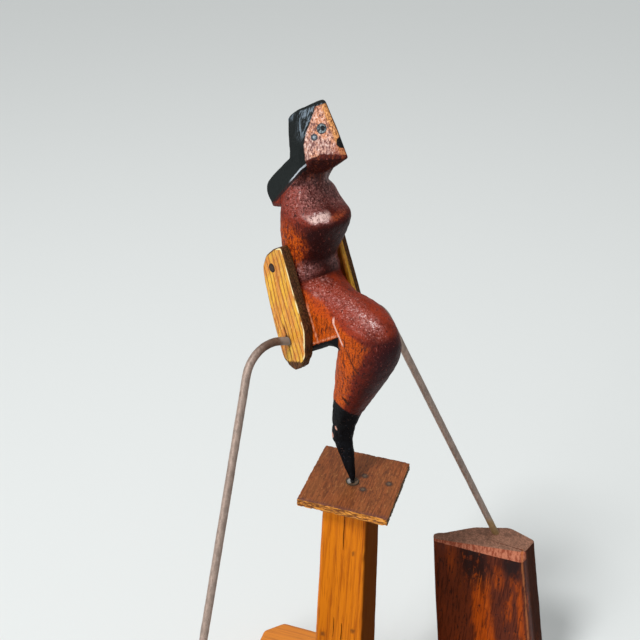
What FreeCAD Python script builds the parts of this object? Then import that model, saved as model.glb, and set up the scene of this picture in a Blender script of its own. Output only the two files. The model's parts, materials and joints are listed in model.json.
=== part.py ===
import FreeCAD, Part
import math
import os
import Sketcher

# Balancing figure on a post. A carved woman stands on one toe in a dished nail head, and two
# wooden weights hang below that toe on bent wires, so the whole figure balances and rocks.
#
# The stand is square to X and Y, with Z up and the origin under the middle of the base board.
# The balancing pieces are drawn in the figure's own frame: X forward, Y to her left, Z up from
# the platform's top, with the toe on the Z axis. They are then turned together to face the way
# she stood, and lifted onto the platform.

STAND = [
    ("base_side", 160, "side of the square base board"),
    ("base_thickness", 19, "base board"),
    ("base_corner_cut", 11.5, "length cut off each side at a base corner"),
    ("base_edge_round", 1.5, "worn upper edge of the base"),
    ("post_top_width", 25.5, "post at the platform, along X"),
    ("post_top_depth", 28, "post at the platform, along Y"),
    ("post_foot_width", 33, "post at the base, along X"),
    ("post_foot_depth", 36, "post at the base, along Y"),
    ("post_height", 209.3, "base board to platform"),
    ("post_arris", 1.2, "bevel on the post's four long corners"),
    ("platform_side", 50, "square platform"),
    ("platform_thickness", 4.7, "platform board"),
    ("platform_shift_x", 1.1, "platform's middle from the post's axis"),
    ("platform_shift_y", 1.2, "platform's middle from the post's axis"),
    ("platform_edge_round", 0.8, "worn edge of the platform"),
    ("nail_head", 3.2, "head of a platform nail"),
    ("nail_head_depth", 1.0, "height of that head"),
    ("nail_shank", 1.6, "shank of a platform nail"),
    ("nail_length", 22, "platform nail under its head"),
    ("tack_length", 3, "short tack under its head, inside the platform"),
    ("nail_sink", 0.2, "nail heads below the platform's top"),
    ("nail_one_x", 5.1, "first nail from the post's axis"),
    ("nail_one_y", 6.8, "first nail from the post's axis"),
    ("nail_two_x", 7.2, "second nail from the post's axis"),
    ("nail_two_y", -4.6, "second nail from the post's axis"),
    ("tack_x", 19.3, "tack from the post's axis"),
    ("tack_y", 4.6, "tack from the post's axis"),
    ("screw_apart", 16, "between the two screws under the base, along Y"),
    ("screw_head", 8, "countersunk screw head under the base"),
    ("screw_shank", 4, "shank of such a screw"),
    ("screw_length", 50, "whole length of such a screw"),
    ("screw_sink", 1, "screw heads below the underside"),
]

PIVOT = [
    ("pivot_rise", 0.5, "toe's turning point above the platform's top"),
    ("ball_radius", 1.25, "rounded tip of the toe pin"),
    ("tip_gap", 0.05, "running gap between tip, pin and cup"),
    ("cup_radius", 3.5, "dished nail head"),
    ("cup_depth", 1.8, "height of that head"),
    ("cup_stand", 0.2, "its rim above the platform's top"),
    ("cup_rim", 0.5, "flat width of its rim"),
    ("cup_shank_radius", 1.3, "shank of the dished nail"),
    ("cup_shank_length", 14, "length of that shank"),
    ("cup_gap", 0.06, "running gap around the dished nail"),
    ("pin_radius", 0.95, "steel pin in the toe"),
    ("pin_length", 12, "length of that pin"),
    ("pin_lean", 17, "pin leaning back as it rises"),
]

# Each carved section is an octagon square to her middle plane: its middle x and z, the lean of
# its fore-and-aft line in degrees, its reach fore and aft of that middle, and its half width.
TRUNK = [
    ("nape", -38, 179, -12, 8, 7.5, 8),
    ("neck", -38.5, 168, -8, 5.6, 7.5, 8.2),
    ("shoulder", -38.5, 160, -6, 5.4, 8.5, 9.8),
    ("chest", -37.5, 153.5, -4, 9.4, 11.2, 13),
    ("bust", -37, 146, -2, 15.7, 12, 15.6),
    ("ribs", -37, 134, 1, 12.4, 12.4, 15.6),
    ("waist", -37.5, 119, 6, 8.4, 12.4, 15.6),
    ("hip", -37, 104, 32, 12.4, 15.4, 15.6),
    ("seat", -24, 92, 63, 21, 23, 15.6),
    ("thigh", -5, 98, 70, 11, 13, 15.2),
    ("lap", 9, 96, 56, 9.4, 10, 13.2),
    ("knee", 17, 93, 40, 7, 8, 10),
]
LEG = [
    ("knee_top", 9.5, 97.2, 30, 8.8, 12, 12.4),
    ("knee_front", 8, 90, 5, 15, 13.4, 13.2),
    ("calf_top", 6.6, 78, -10, 11.4, 13.4, 12.6),
    ("calf", 0.6, 61, -20, 8.2, 10.4, 10.4),
    ("shin", -5, 44, -22, 4.8, 7.8, 7.8),
    ("boot_top", -7.5, 32, -12, 4.6, 6, 6),
    ("ankle", -7, 20, 4, 4.3, 5, 4.5),
    ("foot", -2.8, 9, 8, 2.8, 3.2, 3),
    ("toe", -0.3, 2.6, 5, 1.5, 1.6, 1.6),
]

FIGURE = [
    ("facing", 32.4, "turn of her forward direction from the stand's X, clockwise"),
    ("board", 30, "thickness of the board she is sawn from"),
    ("arris_share", 0.28, "corner cut of a carved section, as a share of its half width"),
    ("chin_x", -30, "middle of the head at the chin"),
    ("chin_z", 177.5, "middle of the head at the chin"),
    ("chin_lean", 12, "slope of the underside of the jaw"),
    ("chin_ridge", 16.6, "chin ahead of that middle"),
    ("chin_cheek", 3, "cheek corner ahead of that middle"),
    ("chin_back", 16, "back of the head behind it"),
    ("chin_half", 10.5, "half the width across the jaw"),
    ("brow_x", -39, "middle of the head at the top"),
    ("brow_z", 198.8, "middle of the head at the top"),
    ("brow_lean", 30, "slope of the top of the head"),
    ("brow_ridge", 9.4, "forehead ahead of that middle"),
    ("brow_cheek", 2, "temple corner ahead of that middle"),
    ("brow_back", 10.4, "back of the head behind it"),
    ("brow_half", 9.2, "half the width across the temples"),
    ("back_half", 8.5, "half the width of the back of the head"),
    ("ridge_half", 0.8, "half the width of the nose ridge"),
    ("hair_half", 11.5, "half the width of the hair's flick"),
]

# Side outline of the flick of hair at her nape, in x and z.
HAIR = [
    ("hair_crown", -40, 187),
    ("hair_nape", -41.8, 176),
    ("hair_flip", -61.6, 156.3),
    ("hair_tip", -62.2, 151),
    ("hair_hem", -57.5, 144.3),
    ("hair_under", -46.5, 147.5),
    ("hair_collar", -33, 170),
    ("hair_temple", -31, 186),
]

# Outline of an arm board, across it towards the front and up it from its middle.
ARM_OUTLINE = [
    ("arm_crown", 10.0, 31.8),
    ("arm_shoulder", -1.2, 29.0),
    ("arm_back", -11.2, 20.6),
    ("arm_hem", -13.8, -8.0),
    ("arm_heel", -13.2, -25.0),
    ("arm_point", -5.0, -33.3),
    ("arm_toe", 6.6, -24.0),
    ("arm_front", 12.2, -11.5),
]

ARMS = [
    ("arm_thickness", 5.3, "arm board"),
    ("arm_lean", 24, "top of the arm leaning back"),
    ("arm_x", -34, "middle of the arm board"),
    ("arm_z", 99.3, "middle of the arm board"),
    ("arm_round", 2.2, "rounded corners of the arm board"),
    ("arm_edge", 0.5, "worn edges of the arm's outer face"),
    ("arm_nail_up", 21.6, "shoulder nail above the arm's middle, along the board"),
    ("arm_nail_back", 2.4, "shoulder nail behind the board's middle line"),
    ("arm_nail_head", 5.0, "head of the shoulder nail"),
    ("arm_nail_head_depth", 0.8, "height of that head"),
    ("arm_nail_shank", 2.2, "shank of the shoulder nail"),
    ("arm_nail_length", 14, "shoulder nail under its head"),
]

WIRES = [
    ("wire_diameter", 4.4, "bent steel wire"),
    ("wire_bend_out", 41.7, "corner of the bend out from her middle plane"),
    ("wire_bend_x", -33.1, "corner of the bend"),
    ("wire_bend_z", 88.0, "corner of the bend"),
    ("wire_lean", 13.9, "plane of the wire leaning forward as it falls"),
    ("wire_exit_rise", 17, "slope of the run out of the arm"),
    ("wire_splay", 22.1, "slope of the falling run out from the plumb"),
    ("wire_bend_radius", 19, "radius of the bend, at the wire's middle"),
    ("wire_fall", 203, "falling run from the bend's corner to the weight"),
    ("wire_in_hip", 10, "depth the wire goes into the hip"),
    ("wire_in_weight", 20, "wire inside the weight"),
]

# Top outline of the left weight, along its broad face and towards its back from the wire.
WEIGHT_OUTLINE = [
    ("weight_left_face", -38.3, -18.3),
    ("weight_right_face", 18.8, -15.8),
    ("weight_side", 25.9, 0.3),
    ("weight_back", 8.6, 8.0),
    ("weight_swell", -14.3, 1.4),
    ("weight_thin_edge", -38.9, -14.0),
]

WEIGHTS = [
    ("weight_height", 100, "height of a weight"),
    ("weight_lean_out", 4.2, "foot of the weight leaning away from her"),
    ("weight_lean_forward", 8.8, "foot of the weight leaning forward"),
    ("weight_turn", 34.1, "turn of its broad face from her side"),
    ("weight_spread", 1.12, "breadth at the foot over breadth at the top"),
    ("weight_bevel", 2.6, "bevel along the top of the front face"),
]

ORIGIN = FreeCAD.Vector(0, 0, 0)
ALONG_Y = FreeCAD.Vector(0, 1, 0)
UP = FreeCAD.Vector(0, 0, 1)
SIDES = {"right": -1, "left": 1}
TOUCHING = 0.001

doc = FreeCAD.newDocument("balancing_figure")
sheet = doc.addObject("Spreadsheet::Sheet", "sizes")
rows = iter(range(2, 1000))


def write_size(alias, value, words):
    """Put one size in the sheet, with its words beside it."""
    row = next(rows)
    sheet.set("A%d" % row, words)
    sheet.set("B%d" % row, str(value))
    sheet.setAlias("B%d" % row, alias)


def size(alias):
    """Read one size back from the sheet."""
    return float(sheet.get(alias))


for group in (STAND, PIVOT, FIGURE, ARMS, WIRES, WEIGHTS):
    for alias, value, words in group:
        write_size(alias, value, words)
for name, *values in TRUNK + LEG:
    for part, value in zip(("x", "z", "lean", "fore", "aft", "half"), values):
        write_size("%s_%s" % (name, part), value, "%s section, %s" % (name, part))
for outline in (HAIR, ARM_OUTLINE, WEIGHT_OUTLINE):
    for name, along, up in outline:
        write_size(name + "_along", along, "outline, first direction")
        write_size(name + "_up", up, "outline, second direction")
doc.recompute()


# Building blocks

def origin_plane(body, role):
    """Find one of a body's own origin planes."""
    return [item for item in body.Origin.OriginFeatures if item.Role == role][0]


def new_body(label):
    """Start a sub-part, whose label names its file."""
    body = doc.addObject("PartDesign::Body", label)
    body.Label = label
    return body


def bind(item, **expressions):
    """Tie an object's properties to the sheet; a double underscore stands for a dot."""
    for path, expression in expressions.items():
        item.setExpression(path.replace("__", "."), expression)


def place(x, y, z, axis="0; 0; 1", angle="0"):
    """Expression for a placement: a point, and a turn about one axis through it."""
    return "placement(vector(%s; %s; %s); rotation(vector(%s); %s))" % (x, y, z, axis, angle)


def new_sketch(body, name, role, where=None):
    """Make a sketch on an origin plane, moved by a placement expression."""
    sketch = body.newObject("Sketcher::SketchObject", name)
    sketch.AttachmentSupport = (origin_plane(body, role), [""])
    sketch.MapMode = "FlatFace"
    if where:
        sketch.setExpression("AttachmentOffset", where)
    return sketch


def polygon(sketch, corners):
    """Draw a closed outline whose corners are pairs of expressions."""
    points = [FreeCAD.Vector(*[evaluate(text) for text in corner], 0) for corner in corners]
    count = len(points)
    for i in range(count):
        sketch.addGeometry(Part.LineSegment(points[i], points[(i + 1) % count]))
    for i in range(count):
        sketch.addConstraint(Sketcher.Constraint("Coincident", i, 2, (i + 1) % count, 1))
    for i, corner in enumerate(corners):
        for kind, text in zip(("DistanceX", "DistanceY"), corner):
            hold = sketch.addConstraint(
                Sketcher.Constraint(kind, -1, 1, i, 1, evaluate(text)))
            sketch.setExpression("Constraints[%d]" % hold, text)


def evaluate(text):
    """Work out an expression in the sheet's sizes."""
    return float(sheet.evalExpression(text.replace("sizes.", "")))


def ring(sketch, *radii):
    """Draw circles about the sketch's origin."""
    for radius in radii:
        circle = sketch.addGeometry(Part.Circle(ORIGIN, UP, evaluate(radius)))
        sketch.addConstraint(Sketcher.Constraint("Coincident", circle, 3, -1, 1))
        hold = sketch.addConstraint(Sketcher.Constraint("Radius", circle, evaluate(radius)))
        sketch.setExpression("Constraints[%d]" % hold, radius)


def pad(body, name, sketch, length, **settings):
    """Extrude a sketch by an expression."""
    feature = body.newObject("PartDesign::Pad", name)
    feature.Profile = sketch
    for setting, value in settings.items():
        setattr(feature, setting, value)
    feature.setExpression("Length", length)
    return feature


def loft(body, name, sketches, ruled=False):
    """Skin a row of sketches."""
    feature = body.newObject("PartDesign::AdditiveLoft", name)
    feature.Profile = sketches[0]
    feature.Sections = sketches[1:]
    feature.Ruled = ruled
    return feature


def edges_where(feature, test):
    """Name the edges whose middle point and direction pass a test."""
    names = []
    for i, edge in enumerate(feature.Shape.Edges):
        middle = edge.valueAt((edge.FirstParameter + edge.LastParameter) / 2)
        span = edge.Vertexes[-1].Point - edge.Vertexes[0].Point
        if test(middle, span):
            names.append("Edge%d" % (i + 1))
    return names


def dress(body, kind, name, base, test, expression):
    """Round or bevel the edges of a feature that pass a test."""
    doc.recompute()
    feature = body.newObject("PartDesign::" + kind, name)
    feature.Base = (base, edges_where(base, test))
    feature.setExpression("Radius" if kind == "Fillet" else "Size", expression)
    return feature


def drill(body, name, role, radius, length, where=None):
    """Cut a round hole along a plane's normal, from a placement expression on."""
    cutter = body.newObject("PartDesign::SubtractiveCylinder", name)
    cutter.AttachmentSupport = (origin_plane(body, role), [""])
    cutter.MapMode = "FlatFace"
    if where:
        cutter.setExpression("AttachmentOffset", where)
    bind(cutter, Radius=radius, Height=length)
    return cutter


def cone(body, name, wide, narrow, length, where):
    """Cut a cone upward from a placement expression on."""
    cutter = body.newObject("PartDesign::SubtractiveCone", name)
    cutter.AttachmentSupport = (origin_plane(body, "XY_Plane"), [""])
    cutter.MapMode = "FlatFace"
    cutter.setExpression("AttachmentOffset", where)
    bind(cutter, Radius1=wide, Radius2=narrow, Height=length)


def is_upright(span):
    """Whether an edge runs along Z."""
    return abs(span.x) + abs(span.y) < TOUCHING and abs(span.z) > TOUCHING


# Stand

BASE_TOP = "sizes.base_thickness"
POST_TOP = "(sizes.base_thickness + sizes.post_height)"
STAND_TOP = "(sizes.base_thickness + sizes.post_height + sizes.platform_thickness)"
SCREW_SLOPE = "((sizes.screw_head - sizes.screw_shank) / 2)"
SCREW_POINT = "(2 * sizes.screw_shank)"
SCREW_BITE = "(sizes.screw_length + sizes.screw_sink - sizes.base_thickness - %s)" % SCREW_POINT
SCREW_SPOTS = {"front": "-sizes.screw_apart / 2", "back": "sizes.screw_apart / 2"}
CUP_FLOOR = "(sizes.cup_depth + sizes.cup_gap - sizes.cup_stand)"
NAIL_SEAT = "(sizes.nail_head_depth + sizes.nail_sink)"


def rectangle(sketch, width, depth):
    """Draw a rectangle about the sketch's origin."""
    right = "%s / 2" % width
    back = "%s / 2" % depth
    polygon(sketch, [("-" + right, "-" + back), (right, "-" + back), (right, back),
                     ("-" + right, back)])


def beveled_rectangle(sketch, width, depth, cut):
    """Draw a rectangle with its corners cut, about the sketch's origin."""
    x = "%s / 2" % width
    y = "%s / 2" % depth
    corners = []
    for a, b, along_x in ((1, -1, False), (1, 1, True), (-1, 1, False), (-1, -1, True)):
        trimmed_y = ("%d * %s" % (a, x), "%d * (%s - %s)" % (b, y, cut))
        trimmed_x = ("%d * (%s - %s)" % (a, x, cut), "%d * %s" % (b, y))
        corners += [trimmed_y, trimmed_x] if along_x else [trimmed_x, trimmed_y]
    polygon(sketch, corners)


def revolve(body, name, sketch):
    """Turn a half profile about the sketch's upright axis."""
    feature = body.newObject("PartDesign::Revolution", name)
    feature.Profile = sketch
    feature.ReferenceAxis = (sketch, ["V_Axis"])
    feature.Angle = 360
    return feature


def make_base_board():
    """Square board with clipped corners, countersunk below for the post's screws."""
    body = new_body("base_board")
    plan = new_sketch(body, "base_plan", "XY_Plane")
    rectangle(plan, "sizes.base_side", "sizes.base_side")
    board = pad(body, "base_pad", plan, "sizes.base_thickness")
    clipped = dress(body, "Chamfer", "base_corners", board,
                    lambda middle, span: is_upright(span), "sizes.base_corner_cut")
    top = size("base_thickness")
    dress(body, "Fillet", "base_worn_edge", clipped,
          lambda middle, span: abs(middle.z - top) + abs(span.z) < TOUCHING,
          "sizes.base_edge_round")
    for name, y in SCREW_SPOTS.items():
        drill(body, name + "_screw_way", "XY_Plane", "sizes.screw_shank / 2", BASE_TOP,
              place("0", y, "0"))
        drill(body, name + "_screw_seat", "XY_Plane", "sizes.screw_head / 2",
              "sizes.screw_sink", place("0", y, "0"))
        cone(body, name + "_countersink", "sizes.screw_head / 2", "sizes.screw_shank / 2",
             SCREW_SLOPE, place("0", y, "sizes.screw_sink"))
    return body


def make_post_screw(name):
    """Countersunk screw up through the base into the foot of the post."""
    body = new_body(name + "_screw")
    half = new_sketch(body, name + "_screw_profile", "XZ_Plane")
    slope = "sizes.screw_sink + " + SCREW_SLOPE
    tip = "sizes.screw_sink + sizes.screw_length"
    polygon(half, [("0", "sizes.screw_sink"), ("sizes.screw_head / 2", "sizes.screw_sink"),
                   ("sizes.screw_shank / 2", slope),
                   ("sizes.screw_shank / 2", "%s - %s" % (tip, SCREW_POINT)), ("0", tip)])
    revolve(body, name + "_screw_turned", half)
    body.setExpression("Placement", place("0", SCREW_SPOTS[name], "0"))
    return body


def make_post():
    """Square post, thicker at its foot, with holes for what is driven into its ends."""
    body = new_body("post")
    foot = new_sketch(body, "post_foot", "XY_Plane", place("0", "0", BASE_TOP))
    beveled_rectangle(foot, "sizes.post_foot_width", "sizes.post_foot_depth",
                      "sizes.post_arris")
    head = new_sketch(body, "post_head", "XY_Plane", place("0", "0", POST_TOP))
    beveled_rectangle(head, "sizes.post_top_width", "sizes.post_top_depth",
                      "sizes.post_arris")
    loft(body, "post_taper", [foot, head], ruled=True)
    for name, y in SCREW_SPOTS.items():
        drill(body, name + "_screw_hole", "XY_Plane", "sizes.screw_shank / 2", SCREW_BITE,
              place("0", y, BASE_TOP))
        cone(body, name + "_screw_point", "sizes.screw_shank / 2", "0", SCREW_POINT,
             place("0", y, "%s + %s" % (BASE_TOP, SCREW_BITE)))
    depth = "(sizes.nail_length + %s - sizes.platform_thickness)" % NAIL_SEAT
    for name in ("nail_one", "nail_two"):
        drill(body, name + "_hole", "XY_Plane", "sizes.nail_shank / 2", depth,
              place("sizes.%s_x" % name, "sizes.%s_y" % name, "%s - %s" % (POST_TOP, depth)))
    depth = "(sizes.cup_shank_length + %s - sizes.platform_thickness)" % CUP_FLOOR
    drill(body, "cup_hole", "XY_Plane", "sizes.cup_shank_radius + sizes.cup_gap", depth,
          place("0", "0", "%s - %s" % (POST_TOP, depth)))
    return body


def make_platform():
    """Small board under her toe, bored for the dished nail, two nails and a tack."""
    body = new_body("platform")
    plan = new_sketch(body, "platform_plan", "XY_Plane",
                      place("sizes.platform_shift_x", "sizes.platform_shift_y", POST_TOP))
    rectangle(plan, "sizes.platform_side", "sizes.platform_side")
    board = pad(body, "platform_pad", plan, "sizes.platform_thickness")
    dress(body, "Fillet", "platform_worn_edges", board,
          lambda middle, span: True, "sizes.platform_edge_round")
    drill(body, "cup_seat", "XY_Plane", "sizes.cup_radius + sizes.cup_gap", CUP_FLOOR,
          place("0", "0", "%s - %s" % (STAND_TOP, CUP_FLOOR)))
    drill(body, "cup_way", "XY_Plane", "sizes.cup_shank_radius + sizes.cup_gap",
          "sizes.platform_thickness", place("0", "0", POST_TOP))
    for name, depth in (("nail_one", "sizes.platform_thickness"),
                        ("nail_two", "sizes.platform_thickness"),
                        ("tack", "(sizes.tack_length + %s)" % NAIL_SEAT)):
        x = "sizes.%s_x" % name
        y = "sizes.%s_y" % name
        drill(body, name + "_seat", "XY_Plane", "sizes.nail_head / 2", NAIL_SEAT,
              place(x, y, "%s - %s" % (STAND_TOP, NAIL_SEAT)))
        drill(body, name + "_way", "XY_Plane", "sizes.nail_shank / 2", depth,
              place(x, y, "%s - %s" % (STAND_TOP, depth)))
    return body


def make_nail(label, head, head_depth, shank, length):
    """Flat-headed nail, its head at the origin and its shank below."""
    body = new_body(label)
    half = new_sketch(body, label + "_profile", "XZ_Plane")
    tip = "-%s - %s" % (head_depth, length)
    polygon(half, [("0", "0"), (head + " / 2", "0"), (head + " / 2", "-" + head_depth),
                   (shank + " / 2", "-" + head_depth), (shank + " / 2", tip), ("0", tip)])
    revolve(body, label + "_turned", half)
    return body


def make_platform_nail(label, name, length):
    """Nail or tack driven down into the platform."""
    body = make_nail(label, "sizes.nail_head", "sizes.nail_head_depth", "sizes.nail_shank",
                     length)
    body.setExpression("Placement", place("sizes.%s_x" % name, "sizes.%s_y" % name,
                                          "%s - sizes.nail_sink" % STAND_TOP))
    return body


def group_of(label, bodies):
    """Keep alike fasteners together, each still its own solid."""
    group = doc.addObject("Part::Compound", label)
    group.Label = label
    group.Links = bodies
    return group


# Pivot

def make_pivot_cup():
    """Dished nail head that the toe stands in, turned as one piece with its shank."""
    body = new_body("pivot_cup")
    half = new_sketch(body, "cup_profile", "XZ_Plane")
    rim = "sizes.cup_stand"
    under = "sizes.cup_stand - sizes.cup_depth"
    tip = under + " - sizes.cup_shank_length"
    pit = "sizes.pivot_rise - sizes.ball_radius - sizes.tip_gap"
    corners = [("sizes.cup_radius - sizes.cup_rim", rim), ("sizes.cup_radius", rim),
               ("sizes.cup_radius", under), ("sizes.cup_shank_radius", under),
               ("sizes.cup_shank_radius", tip), ("0", tip), ("0", pit)]
    points = [FreeCAD.Vector(evaluate(x), evaluate(y), 0) for x, y in corners]
    for first, second in zip(points, points[1:]):
        half.addGeometry(Part.LineSegment(first, second))
    for i in range(5):
        half.addConstraint(Sketcher.Constraint("Coincident", i, 2, i + 1, 1))
    for i, corner in enumerate(corners[:6]):
        hold_point(half, i, 1, corner)
    hold_point(half, 5, 2, corners[6])
    drop = points[0].y - points[6].y
    dish = (points[0].x ** 2 + drop ** 2) / (2 * drop)
    bowl = Part.Circle(FreeCAD.Vector(0, points[6].y + dish, 0), UP, dish)
    sweep = math.asin(points[0].x / dish)
    half.addGeometry(Part.ArcOfCircle(bowl, -math.pi / 2, sweep - math.pi / 2))
    half.addConstraint(Sketcher.Constraint("Coincident", 6, 1, 5, 2))
    half.addConstraint(Sketcher.Constraint("Coincident", 6, 2, 0, 1))
    half.addConstraint(Sketcher.Constraint("PointOnObject", 6, 3, -2))
    revolve(body, "cup_turned", half)
    body.setExpression("Placement", place("0", "0", STAND_TOP))
    return body


def make_toe_ball():
    """Round steel tip whose middle is the point that everything rocks about."""
    ball = doc.addObject("Part::Sphere", "toe_ball")
    ball.Label = "toe_ball"
    ball.setExpression("Radius", "sizes.ball_radius")
    ball.setExpression("Placement", place("0", "0", STAND_TOP + " + sizes.pivot_rise"))
    return ball


# Balancing pieces

BOARD_FACE = "sizes.board / 2"
ARM_FACE = "sizes.board / 2 + sizes.arm_thickness"
NAIL_X = "(sizes.arm_x - sizes.arm_nail_back * cos(sizes.arm_lean)"
NAIL_X += " - sizes.arm_nail_up * sin(sizes.arm_lean))"
NAIL_Z = "(sizes.arm_z - sizes.arm_nail_back * sin(sizes.arm_lean)"
NAIL_Z += " + sizes.arm_nail_up * cos(sizes.arm_lean))"
ENTRY_X = "(sizes.wire_bend_x"
ENTRY_X += " + sizes.wire_fall * cos(sizes.wire_splay) * sin(sizes.wire_lean))"
ENTRY_Y = "(sizes.wire_bend_out + sizes.wire_fall * sin(sizes.wire_splay))"
ENTRY_Z = "(sizes.wire_bend_z"
ENTRY_Z += " - sizes.wire_fall * cos(sizes.wire_splay) * cos(sizes.wire_lean))"
PIN_GAP = "(sizes.ball_radius + sizes.tip_gap)"


def stand_up(piece):
    """Turn a balancing piece to face the way she stood and lift it onto the platform."""
    piece.setExpression("Placement", place("0", "0", STAND_TOP, angle="-sizes.facing"))
    return piece


def pin_place(start):
    """Where the toe pin or its hole starts, along its leaning axis from the pivot."""
    return place("-(%s) * sin(sizes.pin_lean)" % start, "0",
                 "sizes.pivot_rise + (%s) * cos(sizes.pin_lean)" % start,
                 "0; 1; 0", "-sizes.pin_lean")


def make_toe_pin():
    """Steel pin driven up into the toe, ending just above the round tip."""
    body = new_body("toe_pin")
    plan = new_sketch(body, "pin_plan", "XY_Plane", pin_place(PIN_GAP))
    ring(plan, "sizes.pin_radius")
    pad(body, "pin_pad", plan, "sizes.pin_length")
    return stand_up(body)


def carved_section(body, name):
    """Octagon across the figure at one of its named sections."""
    sketch = new_sketch(body, name + "_section", "XY_Plane",
                        place("sizes.%s_x" % name, "0", "sizes.%s_z" % name,
                              "0; 1; 0", "-sizes.%s_lean" % name))
    fore = "sizes.%s_fore" % name
    aft = "-sizes.%s_aft" % name
    half = "sizes.%s_half" % name
    cut = "sizes.arris_share * " + half
    polygon(sketch, [(fore, "%s - %s" % (cut, half)), (fore, "%s - %s" % (half, cut)),
                     ("%s - %s" % (fore, cut), half), ("%s + %s" % (aft, cut), half),
                     (aft, "%s - %s" % (half, cut)), (aft, "%s - %s" % (cut, half)),
                     ("%s + %s" % (aft, cut), "-" + half), ("%s - %s" % (fore, cut), "-" + half)])
    return sketch


def head_section(body, name):
    """Wedge across the head: nose ridge, two cheeks and the back."""
    sketch = new_sketch(body, name + "_section", "XY_Plane",
                        place("sizes.%s_x" % name, "0", "sizes.%s_z" % name,
                              "0; 1; 0", "-sizes.%s_lean" % name))
    ridge = "sizes.%s_ridge" % name
    cheek = "sizes.%s_cheek" % name
    back = "-sizes.%s_back" % name
    half = "sizes.%s_half" % name
    polygon(sketch, [(ridge, "-sizes.ridge_half"), (ridge, "sizes.ridge_half"), (cheek, half),
                     (back, "sizes.back_half"), (back, "-sizes.back_half"), (cheek, "-" + half)])
    return sketch


def saw_flat(body, side, sign):
    """Leave the sawn face of the board flat where an arm is nailed on."""
    plane = new_sketch(body, side + "_saw_cut", "XZ_Plane",
                       place("0", "0", "%d * %s" % (-sign, BOARD_FACE)))
    low = "sizes.foot_z"
    high = "sizes.nape_z"
    reach = "sizes.wire_fall"
    polygon(plane, [("-" + reach, low), (reach, low), (reach, high), ("-" + reach, high)])
    pocket = body.newObject("PartDesign::Pocket", side + "_flat")
    pocket.Profile = plane
    pocket.setExpression("Length", "sizes.board")
    pocket.Reversed = sign < 0
    return pocket


def hold_point(sketch, line, end, corner):
    """Fix one end of a line at a pair of expressions."""
    for kind, text in zip(("DistanceX", "DistanceY"), corner):
        hold = sketch.addConstraint(
            Sketcher.Constraint(kind, -1, 1, line, end, evaluate(text)))
        sketch.setExpression("Constraints[%d]" % hold, text)


def wire_run(body, side, sign, kind):
    """Sweep the bent wire, or the way it takes through a piece of wood.

    The path lies in a plane that leans forward, with the corner of the bend at its origin.
    """
    path = new_sketch(body, side + "_wire_path", "YZ_Plane",
                      place("%d * sizes.wire_bend_out" % sign, "sizes.wire_bend_z",
                            "sizes.wire_bend_x", "1; 0; 0", "-sizes.wire_lean"))
    inward = "(sizes.wire_bend_out - %s + sizes.wire_in_hip)" % BOARD_FACE
    outward = "(sizes.wire_fall + sizes.wire_in_weight)"
    start = ("%d * %s" % (-sign, inward), "-%s * tan(sizes.wire_exit_rise)" % inward)
    end = ("%d * %s * sin(sizes.wire_splay)" % (sign, outward),
           "-%s * cos(sizes.wire_splay)" % outward)
    rise = math.radians(size("wire_exit_rise"))
    splay = math.radians(size("wire_splay"))
    radius = size("wire_bend_radius")
    tangent = radius * math.tan((rise + math.pi / 2 - splay) / 2)
    first = FreeCAD.Vector(-sign * tangent * math.cos(rise), -tangent * math.sin(rise), 0)
    second = FreeCAD.Vector(sign * tangent * math.sin(splay), -tangent * math.cos(splay), 0)
    middle = first + FreeCAD.Vector(sign * math.sin(rise), -math.cos(rise), 0) * radius
    angles = [math.atan2((spot - middle).y, (spot - middle).x) for spot in (first, second)]
    path.addGeometry(Part.LineSegment(FreeCAD.Vector(*[evaluate(t) for t in start], 0), first))
    path.addGeometry(Part.LineSegment(second, FreeCAD.Vector(*[evaluate(t) for t in end], 0)))
    path.addGeometry(Part.ArcOfCircle(Part.Circle(middle, UP, radius), *sorted(angles)))
    arc_ends = (1, 2) if sign < 0 else (2, 1)
    path.addConstraint(Sketcher.Constraint("Tangent", 0, 2, 2, arc_ends[0]))
    path.addConstraint(Sketcher.Constraint("Tangent", 1, 1, 2, arc_ends[1]))
    hold = path.addConstraint(Sketcher.Constraint("Radius", 2, radius))
    path.setExpression("Constraints[%d]" % hold, "sizes.wire_bend_radius")
    hold_point(path, 0, 1, start)
    hold_point(path, 1, 2, end)
    path.addConstraint(Sketcher.Constraint("PointOnObject", -1, 1, 0))
    path.addConstraint(Sketcher.Constraint("PointOnObject", -1, 1, 1))
    doc.recompute()
    across = body.newObject("Sketcher::SketchObject", side + "_wire_ring")
    across.AttachmentSupport = [(path, "Vertex1"), (path, "Edge1")]
    across.MapMode = "NormalToEdge"
    ring(across, "sizes.wire_diameter / 2")
    sweep = body.newObject("PartDesign::" + kind, side + "_wire_sweep")
    sweep.Profile = across
    sweep.Spine = (path, ["Edge1", "Edge2", "Edge3"])
    return sweep


def side_hole(body, name, sign, near, far, radius):
    """Hole square to her middle plane, from one distance out from it to another."""
    start = near if sign < 0 else "-(%s)" % far
    drill(body, name, "XZ_Plane", radius, "(%s) - (%s)" % (far, near),
          place(NAIL_X, NAIL_Z, start))


NAIL_HEAD_UNDER = ARM_FACE + " - sizes.arm_nail_head_depth"
NAIL_TIP = NAIL_HEAD_UNDER + " - sizes.arm_nail_length"


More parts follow.
